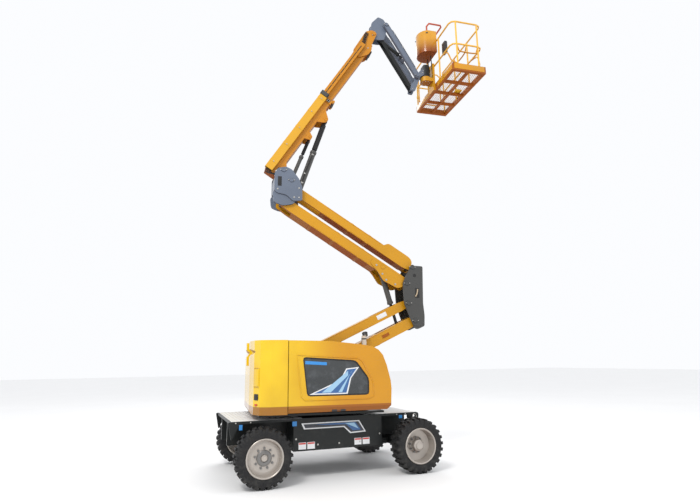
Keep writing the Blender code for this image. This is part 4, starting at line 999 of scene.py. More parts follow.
# ---------------------------------------------------------------- wheels
@dataclass
class Wheel:
    """One wheel: its lugged tyre, its nuts and its hub cap."""

    kind: str
    end: str
    radius: float = 0.42
    carcass: float = 0.392
    half_width: float = 0.15
    bead: float = 0.2625
    lugs: int = 26
    holes: int = 22
    nuts: int = 9

    @property
    def side(self) -> int:
        """-1 on the near side and 1 on the far side."""
        return -1 if self.end == "near" else 1

    @property
    def where(self) -> Matrix:
        """The wheel's frame, with its y pointing outwards."""
        facing = Matrix.Rotation(0.0 if self.side > 0 else math.pi, 4, "Z")
        return Matrix.Translation(pin(f"{self.kind}_wheel_{self.end}")) @ facing

    def lug(self) -> bpy.types.Object:
        """One tread bar: it runs aslant from the middle to the shoulder, and down the sidewall."""
        bar = Bench.block((-0.021, 0.021), (0.004, 0.118), (self.carcass - 0.012, self.radius - 0.0012))
        Bench.pick(bar, lambda centre, normal: normal.y > 0.9)
        bpy.ops.mesh.extrude_region_move(TRANSFORM_OT_translate={"value": (0.012, 0.026, -0.012)})
        bpy.ops.mesh.extrude_region_move(TRANSFORM_OT_translate={"value": (0.006, 0.008, -0.044)})
        bpy.ops.transform.resize(value=(0.8, 0.4, 0.7))
        bpy.ops.object.mode_set(mode="OBJECT")
        Bench.pick(bar, lambda centre, normal: centre.y > 0.05)
        bpy.ops.transform.rotate(value=math.radians(5.0), orient_axis="Y", center_override=(0.0, 0.0, 0.0))
        bpy.ops.object.mode_set(mode="OBJECT")
        return Bench.rounded(bar, 0.004, 1)

    def tyre(self) -> None:
        """The tyre, which stands for the plain solid one."""
        w, c = self.half_width, self.carcass
        profile = [
            (self.bead, 0.128), (self.bead + 0.014, 0.140), (0.300, 0.1465), (0.335, w - 0.001),
            (0.366, 0.1455),
            (c - 0.008, 0.130), (c, 0.108), (c + 0.002, 0.0),
        ]
        profile += [(r, -y) for r, y in reversed(profile[:-1])]
        body = Bench.turned([*profile, profile[0]], 72)
        near = Bench.copies(self.lug(), ring(self.lugs, 0.0))
        mirror = Matrix.Scale(-1.0, 4, (0, 1, 0))
        far = Bench.copies(self.lug(), [turn @ mirror for turn in ring(self.lugs, 0.0, 180.0 / self.lugs)],
                           True)
        rib = Bench.turned([(0.283, 0.140), (0.287, 0.1462), (0.293, 0.1475), (0.297, 0.1445)], 72)
        cup = Bench.drum((0.0, 0.140, 0.0), (0.0, 0.1508, 0.0), 0.0165, 14, 0.0, (0.0035, 0.003))
        cups = Bench.copies(cup, ring(self.holes, 0.330))
        hole = Bench.drum((0.0, 0.146, 0.0), (0.0, 0.1512, 0.0), 0.0105, 14)
        Bench.settle(f"tyre_holes_{self.kind}_{self.end}", f"{self.kind}_wheel_{self.end}", Finish.SEAL,
                     self.where,
                     Bench.copies(hole, ring(self.holes, 0.330)), slot="rubber")
        name = f"tread_{self.kind}_{self.end}"
        tyre = Bench.settle(name, f"{self.kind}_wheel_{self.end}", Finish.TYRE, self.where, body, near, far,
                            rib, cups)
        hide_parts(f"tyre_{self.kind}_{self.end}")

    def hub(self) -> None:
        """Nuts on their studs, the hub's cap and the rim's bead ring."""
        steered = self.kind == "steer"
        circle, face = (0.136, 0.074) if steered else (0.112, -0.018)
        nut = Bench.drum((0, face - 0.006, 0), (0, face + 0.016, 0), 0.0165, 6, 0.001)
        stud = Bench.drum((0, face, 0), (0, face + 0.024, 0), 0.0065, 10, 0.001)
        seat = Bench.drum((0, face - 0.008, 0), (0, face + 0.001, 0), 0.019, 16, 0.001)
        nuts = Bench.copies(Bench.joined([nut, stud, seat]), ring(self.nuts, circle))
        body = f"{self.kind}_wheel_{self.end}"
        parts = [nuts]
        if steered:
            parts.append(Bench.turned([(0.052, 0.060), (0.098, 0.060), (0.108, 0.078), (0.102, 0.083),
                                       (0.056, 0.083), (0.052, 0.060)], 48))
        Bench.settle(f"wheel_nuts_{self.kind}_{self.end}", body, Finish.HUB, self.where, *parts)
        out = 0.088 if steered else 0.097
        cap = Bench.drum((0, out - 0.012, 0), (0, out + 0.010, 0), 0.043 if steered else 0.058, 28, 0.003,
                         (0.012, 0.003))
        small = Bench.drum((0, out + 0.001, 0), (0, out + 0.011, 0), 0.0055, 6)
        plugs = Bench.copies(small, ring(5, 0.034 if steered else 0.050))
        beads = [Bench.turned([(0.2735, 0.1465), (0.268, 0.151), (0.262, 0.151), (0.2565, 0.1468),
                               (0.262, 0.144),
                               (0.2735, 0.1465)], 60)]
        valve = Bench.drum((0.205, 0.07, 0.0), (0.215, 0.105, 0.0), 0.005, 10, 0.001)
        Bench.settle(f"hub_cap_{self.kind}_{self.end}", body, Finish.RIM, self.where, cap, plugs, valve,
                     *beads)

    def build(self) -> None:
        """Builds the wheel."""
        self.tyre()
        self.hub()


# ---------------------------------------------------------------- chassis
@dataclass
class Chassis:
    """Stripes, labels, tread plates and lashing points of the chassis."""

    side: float = 0.78
    deck: float = 0.90
    film: float = 0.0012

    def film_piece(self, name: str, finish: Finish, outline: Sequence[Point], layer: int = 0) -> None:
        """A film on both sides of the chassis.

        Args:
            name: the piece's name.
            finish: its finish.
            outline: its corners, x and z.
            layer: how many films it lies on.
        """
        for end, side in ENDS:
            low = side * (self.side + SEAT + layer * self.film)
            film = Bench.plate(outline, *sorted((low, low + side * self.film)))
            Bench.settle(f"{name}_{end}", "chassis", finish, CHASSIS, film)

    def stripes(self) -> None:
        """The kinked stripe: a white border, a blue field, a pale streak and a painted highlight on it."""
        border = [(-0.62, 0.825), (0.345, 0.825), (0.46, 0.645), (0.19, 0.635), (0.08, 0.735),
                  (-0.575, 0.735)]
        field = [(-0.585, 0.809), (0.332, 0.809), (0.430, 0.662), (0.20, 0.653), (0.09, 0.751),
                 (-0.555, 0.751)]
        streak = [(-0.40, 0.800), (0.28, 0.800), (0.37, 0.680), (0.235, 0.675), (0.12, 0.775), (-0.20, 0.785)]
        self.film_piece("stripe_border", Finish.WHITE_FILM, border)
        self.film_piece("stripe_field", Finish.DARK_FILM, field, 1)
        self.film_piece("stripe_streak", Finish.BLUE_FILM, streak, 2)
        # The glint is a painted highlight: a sky-blue film over the streak.
        self.film_piece("stripe_glint", Finish.SKY_FILM, [(0.10, 0.793), (0.26, 0.793), (0.33, 0.700)], 3)

    def labels(self) -> None:
        """Blank labels with a red or blue head."""
        for i, (x, z, wide, high) in enumerate(((-0.66, 0.445, 0.12, 0.10), (-0.52, 0.445, 0.12, 0.10),
                                                (0.26, 0.455, 0.12, 0.10), (0.40, 0.455, 0.12, 0.10))):
            sheet = [(x, z), (x + wide, z), (x + wide, z + high), (x, z + high)]
            head = [(x + 0.006, z + high * 0.72), (x + wide - 0.006, z + high * 0.72),
                    (x + wide - 0.006, z + high - 0.006),
                    (x + 0.006, z + high - 0.006)]
            self.film_piece(f"label_{i}", Finish.WHITE_FILM, sheet)
            self.film_piece(f"label_head_{i}", Finish.RED_FILM, head, 1)
        for i, (x, z, wide, high) in enumerate(((-1.57, 0.78, 0.05, 0.075), (-0.76, 0.79, 0.07, 0.07),
                                                (1.06, 0.815, 0.06, 0.05))):
            sheet = [(x, z), (x + wide, z), (x + wide, z + high), (x, z + high)]
            self.film_piece(f"tag_{i}", Finish.TAG_FILM, sheet)

    def tread_plates(self) -> None:
        """Anti-slip plates on the deck's two ends, with raised bars."""
        top = self.deck
        for end, (start, stop) in (("steered", (-1.68, -0.60)), ("driven", (0.45, 1.38))):
            sheet = Bench.block((start, stop), (-self.side + 0.02, self.side - 0.02),
                                (top + SEAT, top + 0.004), 0.001)
            stud = Bench.block((-0.014, 0.014), (-0.004, 0.004), (top + 0.003, top + 0.0065), 0.0015)
            places = []
            pitch = 0.06
            for i in range(int((stop - start) / pitch)):
                for k in range(int(2 * self.side / pitch) - 1):
                    at = (start + 0.03 + i * pitch, -self.side + 0.05 + k * pitch, 0.0)
                    lean = Matrix.Rotation(math.radians(45 if (i + k) % 2 else -45), 4, "Z")
                    places.append(Matrix.Translation(at) @ lean)
            studs = Bench.copies(stud, places)
            Bench.settle(f"tread_plate_{end}", "chassis", Finish.BRIGHT_PLATE, CHASSIS, sheet, studs)

    def fittings(self) -> None:
        """Lashing shackles, edge bolts and the bay's cover bolts."""
        bolts = []
        for side in (-1, 1):
            for x in (-0.70, -0.35, 0.0, 0.35, 0.70):
                bolts.append(bolt((x, side * self.side, 0.60 if abs(x) > 0.6 else 0.50), (0, side, 0), 0.010))
            for x in (-1.62, -1.40, 1.02, 1.18):
                bolts.append(bolt((x, side * self.side, 0.882), (0, side, 0), 0.008, 0.006))
        Bench.settle("chassis_bolts", "chassis", Finish.ZINC, CHASSIS, *bolts)
        rings = []
        for side in (-1, 1):
            y = side * (self.side + 0.004)
            arch = [(1.345 + 0.034 * math.cos(math.radians(a)), y + side * 0.006,
                     0.845 - 0.010 + 0.042 * math.sin(math.radians(a)))
                    for a in range(0, 360, 24)]
            rings.append(Bench.hose(arch, 0.007, False, True))
        Bench.settle("lashing_rings", "chassis", Finish.ZINC, CHASSIS, *rings)

    def slew_bolts(self) -> None:
        """The bolts round the slewing ring."""
        head = bolt((0.0, 0.0, 0.0), (0, 0, 1), 0.010)
        turns = [math.radians(11.25 * i) for i in range(32)]
        ring_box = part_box("slew_ring")
        radius = ring_box[1].x + 0.03
        places = [Matrix.Translation((radius * math.cos(a), radius * math.sin(a), self.deck + 0.004))
                  for a in turns]
        Bench.settle("slew_bolts", "chassis", Finish.ZINC, CHASSIS, Bench.copies(head, places))

    def build(self) -> None:
        """Builds the chassis's small pieces."""
        self.stripes()
        self.labels()
        self.tread_plates()
        self.fittings()
        self.slew_bolts()


# ---------------------------------------------------------------- turret
@dataclass
class Turret:
    """Window seals and graphics, latches, rear panels and the exhaust's outlet."""

    side: float = 1.09
    pane: float = 1.078
    window: tuple[float, float, float, float] = (-0.56, 0.50, 1.24, 1.83)

    def window_outline(self, grow: float) -> list[Point]:
        """The window's corners, grown by a margin."""
        left, right, low, high = self.window
        left, right, low, high = left - grow, right + grow, low - grow, high + grow
        return [(left + 0.07, low), (right, low), (right, low + 0.25 + grow), (right - 0.21, high - 0.06),
                (left, high)]

    def faced(self, name: str, finish: Finish, outlines: Sequence[Sequence[Point]], depth: float,
              thick: float,
              slot: str = "cover", bevel: float = 0.0) -> None:
        """Flat pieces on both hoods' side faces, which ride on their hood.

        Args:
            name: the piece's name.
            finish: its finish.
            outlines: corners of each, x and z.
            depth: distance of their inner face from the turret's middle.
            thick: their thickness.
            slot: passed on to settle, which does not use it.
            bevel: how much their edges are rounded.
        """
        for end, side in ENDS:
            y = span(side, depth, depth + thick)
            made = [Bench.plate(outline, y[0], y[1], "XZ", bevel) for outline in outlines]
            Bench.settle(f"{name}_{end}", f"{end}_hood", finish, TURRET, *made, slot=slot)

    def windows(self) -> None:
        """Rubber seals, and the sail-shaped graphic behind the gloss."""
        for end, side in ENDS:
            y = side * (self.pane + 0.001)
            line = [(x, y, z) for x, z in self.window_outline(-0.012)]
            corners = []
            for before, here, after in zip(line[-1:] + line[:-1], line, line[1:] + line[:1]):
                corner = Vector(here)
                back, ahead = ((Vector(to) - corner).normalized() for to in (before, after))
                corners += [corner + back * 0.04, corner + (back + ahead) * 0.012, corner + ahead * 0.04]
            seal = Bench.hose(corners, 0.009, False, True)
            Bench.settle(f"window_seal_{end}", f"{end}_hood", Finish.SEAL, TURRET, seal, slot="rubber")
        face = self.pane + SEAT
        self.faced("sail_border", Finish.WHITE_FILM,
                   [[(-0.46, 1.262), (0.03, 1.47), (0.13, 1.645), (0.34, 1.665), (0.21, 1.50),
                     (0.15, 1.262)]],
                   face, 0.0012, "pane")
        self.faced("sail_field", Finish.BLUE_FILM,
                   [[(-0.38, 1.280), (0.045, 1.455), (0.145, 1.628), (0.30, 1.645), (0.19, 1.50),
                     (0.13, 1.280)]],
                   face + 0.0012, 0.0012, "pane")
        self.faced("sail_streaks", Finish.SKY_FILM,
                   [[(-0.26, 1.290), (-0.12, 1.290), (0.16, 1.540), (0.16, 1.610)],
                                                     [(0.0, 1.290), (0.06, 1.290), (0.19, 1.56),
                                                      (0.24, 1.635)]],
                   face + 0.0024, 0.0012, "pane")
        self.faced("window_strip", Finish.TAG_FILM,
                   [[(-0.52, 1.77), (-0.18, 1.745), (-0.18, 1.70), (-0.52, 1.72)]],
                   face, 0.0012, "pane")

    def recess(self) -> None:
        """A raised lip round the window, as the moulded cover has."""
        for end, side in ENDS:
            outer = [(-0.65, 1.86), (0.32, 1.80), (0.39, 1.76), (0.565, 1.44), (0.57, 1.22), (0.48, 1.185),
                     (-0.52, 1.185),
                     (-0.58, 1.24)]
            line = [(x, side * (self.side - 0.001), z) for x, z in outer]
            lip = Bench.hose(line, 0.011, False, True, 3)
            Bench.settle(f"window_lip_{end}", f"{end}_hood", Finish.COVER, TURRET, lip)

    def latches(self) -> None:
        """A black bar latch low on each hood, and the bent edge of its foot recess."""
        for end, side in ENDS:
            face = side * 1.040
            out = sorted((face, face + side * 0.034))
            case = Bench.block((-0.10, -0.02), out, (1.005, 1.045), 0.006)
            catch = Bench.block((0.04, 0.12), out, (1.005, 1.045), 0.006)
            grip = Bench.block((-0.09, 0.11), sorted((face + side * 0.020, face + side * 0.030)),
                               (1.016, 1.032), 0.004)
            lock = Bench.drum((0.08, face, 1.025), (0.08, face + side * 0.040, 1.025), 0.010, 16, 0.001,
                              (0.003, 0.002))
            Bench.settle(f"hood_latch_{end}", f"{end}_hood", Finish.BLACK, TURRET, case, catch, grip, lock)
            line = [(-0.45, side * 1.048, 1.008), (-0.36, side * 1.082, 1.085), (0.16, side * 1.082, 1.085),
                    (0.27, side * 1.048, 1.008)]
            Bench.settle(f"foot_recess_{end}", f"{end}_hood", Finish.COVER, TURRET,
                         Bench.hose(line, 0.008, False))

    def rear(self) -> None:
        """The cowl's rear corners: a panel, a vent and a red reflector on each."""
        for end, side in ENDS:
            at = TURRET @ Vector((-1.2445, side * 0.9560, 0.0))
            facet = station(at, 0.0, TURRET_YAW + (-60.2 if side < 0 else 60.2 + 180.0))
            panel = Bench.block((-0.058, 0.058), (-0.006, 0.004) if side < 0 else (-0.004, 0.006),
                                (1.40, 1.66), 0.004)
            frame_ring = Bench.hose([(-0.064, 0.0, 1.39), (0.064, 0.0, 1.39), (0.064, 0.0, 1.67),
                                     (-0.064, 0.0, 1.67)],
                                    0.006, False, True)
            Bench.settle(f"rear_panel_{end}", "turret", Finish.COVER, facet, panel, frame_ring, slot="cast")
            vent = Bench.block((-0.05, 0.05), (-0.008, 0.008), (1.20, 1.29), 0.008)
            slats = [Bench.block((-0.042, 0.042), (-0.014, 0.014), (z, z + 0.008), 0.002)
                     for z in (1.215, 1.237, 1.259)]
            Bench.settle(f"rear_vent_{end}", "turret", Finish.BLACK, facet, vent, *slats)
            reflector = Bench.block((-0.03, 0.03), (-0.008, 0.008), (1.12, 1.145), 0.003)
            Bench.settle(f"rear_reflector_{end}", "turret", Finish.RED_FILM, facet, reflector)

    def exhaust(self) -> None:
        """The exhaust's black outlet and its clamp."""
        low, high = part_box("exhaust_pipe")
        top = TURRET.inverted() @ Vector(((low.x + high.x) / 2, (low.y + high.y) / 2, high.z))
        tilt = Matrix.Translation((top.x + 0.02, top.y, top.z - 0.02)) @ Matrix.Rotation(math.radians(62), 4,
                "X")
        outlet = Bench.turned([(0.046, -0.030), (0.050, 0.028), (0.043, 0.030), (0.040, -0.028),
                               (0.046, -0.030)], 28)
        outlet.data.transform(tilt)
        sleeve = Bench.turned([(0.038, -0.16), (0.043, -0.155), (0.043, 0.155), (0.038, 0.16),
                               (0.038, -0.16)], 28)
        sleeve.data.transform(Matrix.Translation((top.x, top.y,
                                                  top.z - 0.21)) @ Matrix.Rotation(math.radians(90), 4, "X"))
        Bench.settle("exhaust_sleeve", "turret", Finish.SLEEVE, TURRET, sleeve)
        clamp = Bench.turned([(0.044, -0.010), (0.048, -0.010), (0.048, 0.010), (0.044, 0.010),
                              (0.044, -0.010)], 24)
        clamp.data.transform(Matrix.Translation((top.x, top.y,
                                                 top.z - 0.10)) @ Matrix.Rotation(math.radians(90), 4, "X"))
        Bench.settle("exhaust_outlet", "turret", Finish.BLACK, TURRET, outlet, clamp)

    def build(self) -> None:
        """Builds the turret's small pieces."""
        self.windows()
        self.recess()
        self.latches()
        self.rear()
        self.exhaust()
        pin_caps("tower_pin_caps", "turret", TURRET, [(-0.665, 1.347), (-0.785, 1.667)], 0.208, 0.05,
                 Finish.GREY)


# ---------------------------------------------------------------- risers
@dataclass
class Risers:
    """Cross plates, labels, hoses and pin caps of both risers, the upright and the knuckle."""

    main_y: float = 0.17
    main_half: float = 0.095
    tie_y: float = 0.135
    tie_half: float = 0.0825

    def bands(self) -> None:
        """Bands round the links, where their plates are welded."""
        for name, body, where, spots, half_y, half in (
            ("lower_riser_bands", "lower_main", LOWER_MAIN, (0.55, 1.25, 1.75), self.main_y, self.main_half),
            ("upper_riser_bands", "upper_main", UPPER_MAIN, (1.00, 1.55, 2.05), self.main_y, self.main_half),
            ("upper_tie_bands", "upper_tie", UPPER_TIE, (0.95, 1.35), self.tie_y, self.tie_half),
        ):
            plates = []
            for x in spots:
                plates.append(Bench.block((x, x + 0.06), (-half_y - 0.003, half_y + 0.003),
                                          (-half - 0.004, -half + 0.012), 0.002))
                plates.append(Bench.block((x, x + 0.06), (-half_y - 0.003, half_y + 0.003),
                                          (half - 0.012, half + 0.004), 0.002))
            Bench.settle(name, body, Finish.ORANGE, where, *plates)

    def seams(self) -> None:
        """Weld beads along the links' lower edges."""
        for name, body, where, half_y, half, ends in (
            ("lower_main_welds", "lower_main", LOWER_MAIN, self.main_y, self.main_half, (0.20, 2.05)),
            ("upper_main_welds", "upper_main", UPPER_MAIN, self.main_y, self.main_half, (0.80, 2.10)),
            ("upper_tie_welds", "upper_tie", UPPER_TIE, self.tie_y, self.tie_half, (0.72, 1.95)),
            ("lower_tie_welds", "lower_tie", LOWER_TIE, self.tie_y, self.tie_half, (0.20, 1.80)),
        ):
            beads = []
            for side in (-1, 1):
                for level in (-half + 0.013, half - 0.013):
                    y = side * (half_y + 0.0005)
                    beads.append(Bench.hose([(ends[0], y, level), (ends[1], y, level)], 0.0028, False))
            Bench.settle(name, body, Finish.ORANGE, where, *beads)

    def shade_sheets(self) -> None:
        """Darker plates under the links: painted shade, dark sheets where the links' undersides lie in shade.
        """
        for name, body, where, half_y, half, ends in (
            ("upper_main_underside", "upper_main", UPPER_MAIN, self.main_y, self.main_half, (0.80, 2.12)),
            ("upper_tie_underside", "upper_tie", UPPER_TIE, self.tie_y, self.tie_half, (0.30, 1.90)),
        ):
            sheet = Bench.block(ends, (-half_y + 0.004, half_y - 0.004), (-half - 0.0022, -half - SEAT))
            Bench.settle(name, body, Finish.DEEP_ORANGE, where, sheet)

    def labels(self) -> None:
        """Blank labels on the lower tie, and the lower main link's rimmed slots, whose darker insides are
        painted shade.
        """
        for end, side in ENDS:
            y = span(side, self.tie_y + SEAT, self.tie_y + 0.002)
            plate = Bench.block((1.95, 2.15), y, (-0.035, 0.045), 0.0005)
            Bench.settle(f"lower_tie_label_{end}", "lower_tie", Finish.WHITE_FILM, LOWER_TIE, plate)
            rim = Bench.hose([(1.90, side * self.main_y, -0.030), (2.05, side * self.main_y, -0.030),
                              (2.05, side * self.main_y, 0.030), (1.90, side * self.main_y, 0.030)], 0.005,
                              False, True)
            # The slot's inside is a darker orange plate: painted shade.
            slot_shade = Bench.block((1.905, 2.045), span(side, self.main_y, self.main_y + 0.0015), (-0.026, 0.026),
                               0.001)
            Bench.settle(f"lower_main_slot_{end}", "lower_main", Finish.DEEP_ORANGE, LOWER_MAIN, slot_shade)
            Bench.settle(f"lower_main_slot_rim_{end}", "lower_main", Finish.ORANGE, LOWER_MAIN, rim)

    def bracket_bolts(self) -> None:
        """Bolts of the upper link's bracket, and its pin's boss."""
        bolts = []
        for side in (-1, 1):
            y = side * (self.main_y + 0.014)
            bolts += [bolt((x, y, z), (0, side, 0), 0.014, 0.010) for x,
                      z in ((0.17, -0.13), (0.36, -0.155), (0.66, -0.02), (0.48, -0.10))]
        Bench.settle("tower_bracket_bolts", "upper_main", Finish.ZINC, UPPER_MAIN, *bolts)
        bosses = [Bench.drum((0.54, side * 0.184, 0.025), (0.54, side * 0.192, 0.025), 0.045, 28, 0.002,
                             (0.014, 0.004)) for side in (-1, 1)]
        Bench.settle("tower_pin_bosses", "upper_main", Finish.ORANGE, UPPER_MAIN, *bosses)

    def upright(self) -> None:
        """The upright's edge ribs, windows and hoses; the windows are black plates, painted shade for their
        insides.
        """
        ribs, holes = [], []
        for side in (-1, 1):
            y = side * 0.2305
            line = [(-0.20, y, 0.66), (-0.185, y, 0.32), (-0.05, y, -0.06), (0.10, y, -0.10)]
            ribs.append(Bench.hose(line, 0.006))
            # Black discs and plates stand for the windows' insides: painted shade.
            spot = sorted((y - side * 0.001, y + side * 0.004))
            holes.append(Bench.drum((0.02, spot[0], 0.84), (0.02, spot[1], 0.84), 0.03, 24, 0.0,
                                    (0.008, 0.003)))
            holes.append(Bench.block((0.02, 0.10), spot, (0.42, 0.60), 0.012))
        Bench.settle("upright_ribs", "upright", Finish.GREY, UPRIGHT, *ribs)
        Bench.settle("upright_openings", "upright", Finish.SEAL, UPRIGHT, *holes)
        hoses = []
        for i, y in enumerate((-0.11, -0.07, 0.07, 0.11)):
            hoses.append(Bench.hose([(0.165, y, 0.92), (0.185, y, 0.78), (0.205, y, 0.55), (0.195, y, 0.30),
                                     (0.165, y, 0.14)],
                                    0.013 if i % 2 else 0.011))
        Bench.settle("upright_hoses", "upright", Finish.HOSE, UPRIGHT, *hoses)
        clamps = [Bench.block((0.155, 0.216), (-0.135, 0.135), (z, z + 0.025), 0.003)
                  for z in (0.24, 0.50, 0.74)]
        Bench.settle("upright_hose_clamps", "upright", Finish.ZINC, UPRIGHT, *clamps)
        sleeve = Bench.hose([(0.02, -0.236, 0.44), (0.05, -0.244, 0.50), (0.07, -0.236, 0.58)], 0.012)
        Bench.settle("upright_sleeve", "upright", Finish.CLEAR_HOSE, UPRIGHT, sleeve)
        main_pin, tie_pin = (-0.14, 0.69), (-0.02, 1.00)
        pin_caps("upright_pin_caps", "upright", UPRIGHT, [(0.0, 0.0), (-0.12, 0.32), main_pin, tie_pin],
                 0.234, 0.042, Finish.GREY)

    def knuckle(self) -> None:
        """The knuckle's openings, whose insides are painted shade as black plates, and its bolts and pin
        caps.
        """
        plugs, bolts = [], []
        for side in (-1, 1):
            y = side * 0.2405
            spot = sorted((y - side * 0.001, y + side * 0.003))
            # Black plates stand for the openings' insides: painted shade.
            plugs.append(Bench.block((-0.10, -0.03), spot, (0.26, 0.44), 0.014))
            bolts += [bolt((x, y, z), (0, side, 0), 0.012, 0.009) for x,
                      z in ((0.29, 0.06), (0.20, 0.06), (0.29, 0.24), (-0.10, 0.20))]
        Bench.settle("knuckle_openings", "knuckle", Finish.SEAL, KNUCKLE, *plugs)
        Bench.settle("knuckle_bolts", "knuckle", Finish.ZINC, KNUCKLE, *bolts)
        pin_caps("knuckle_pin_caps", "knuckle", KNUCKLE, [(0.002, 0.573), (0.147, 0.388)], 0.244, 0.04,
                 Finish.BLUE_GREY)
        pin_caps("riser_top_pin_caps", "knuckle", KNUCKLE, [(0.0, 0.0)], 0.198, 0.042, Finish.GREY)

    def build(self) -> None:
        """Builds the risers' small pieces."""
        self.bands()
        self.seams()
        self.shade_sheets()
        self.labels()
        self.bracket_bolts()
        self.upright()
        self.knuckle()


# ---------------------------------------------------------------- cylinders
@dataclass
class Cylinder:
    """One hydraulic cylinder's gland, ports and hoses."""

    name: str
    radius: float
    length: float
    rod: float
    hose_side: int = -1
    boot: float = 0.0
    reach: float = 0.0
    port: float = 0.12
    finish: Finish = Finish.GREY

    def bellows(self, body: str, where: Matrix) -> None:
        """The rubber boot over the rod, from the gland to the rod's eye; it is unhooked from the barrel and
        stays where it is built.

        Args:
            body: the barrel's body.
            where: the barrel's frame.
        """
        start, end, folds = self.length + 0.045, self.reach, 26
        step = (end - start) / folds
        skin = [(self.rod + 0.002, start), (self.boot - 0.003, start)]
        for i in range(folds):
            skin += [(self.boot, start + (i + 0.3) * step), (self.boot - 0.006, start + (i + 0.8) * step)]
        skin += [(self.rod + 0.002, end), (self.rod + 0.002, start)]
        boot = Bench.turned(skin, 28)
        boot.data.transform(Matrix.Rotation(math.radians(-90), 4, "Z"))
        boot = Bench.settle(f"{self.name}_boot", body, Finish.BOOT, where, boot)
        boot.parent = None
        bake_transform(boot)

    def build(self) -> None:
        """Builds the cylinder's small pieces on its barrel."""
        body = f"{self.name}_barrel"
        where = slide_station(f"{self.name}_rod_slide", f"{self.name}_barrel_turn")
        r, end = self.radius, self.length
        gland = Bench.turned([(self.rod + 0.001, -0.010), (r + 0.006, -0.006), (r + 0.008, 0.0),
                              (r + 0.008, 0.040),
                              (r + 0.0005, 0.050), (r + 0.0005, 0.044), (self.rod + 0.001, -0.004),
                              (self.rod + 0.001, -0.010)], 32)
        gland.data.transform(Matrix.Translation((end, 0, 0)) @ Matrix.Rotation(math.radians(90), 4, "Z"))
        foot = Bench.turned([(r + 0.0005, -0.02), (r + 0.005, -0.02), (r + 0.005, 0.02), (r + 0.0005, 0.02),
                             (r + 0.0005, -0.02)], 32)
        foot.data.transform(Matrix.Translation((0.10, 0, 0)) @ Matrix.Rotation(math.radians(90), 4, "Z"))
        Bench.settle(f"{self.name}_gland", body, self.finish, where, gland, foot, slot="grey")
        if self.boot:
            self.bellows(body, where)
        side = self.hose_side
        if not side:
            return
        ports = []
        for x in (self.port, end - 0.09):
            ports.append(Bench.block((x - 0.016, x + 0.016), span(side, r - 0.006, r + 0.020),
                                     (-0.016, 0.016), 0.003))
            ports.append(Bench.drum((x, side * (r + 0.018), 0), (x, side * (r + 0.032), 0), 0.011, 6))
        Bench.settle(f"{self.name}_ports", body, Finish.ZINC, where, *ports)
        out = r + 0.022
        line = [(end - 0.09, side * out, 0.0), (end - 0.13, side * (out + 0.002), 0.004),
                (end - 0.22, side * (out - 0.004), 0.012),
                (end * 0.55, side * (out - 0.006), 0.016), (self.port + 0.10, side * (out - 0.005), 0.014),
                (self.port + 0.03, side * (out + 0.002), 0.006), (self.port, side * out, 0.0)]
        Bench.settle(f"{self.name}_hose", body, Finish.HOSE, where, Bench.hose(line, 0.009))
        clip = Bench.block((end * 0.5 - 0.015, end * 0.5 + 0.015), span(side, r - 0.002, out + 0.002),
                           (0.002, 0.030), 0.003)
        Bench.settle(f"{self.name}_clip", body, Finish.ZINC, where, clip)


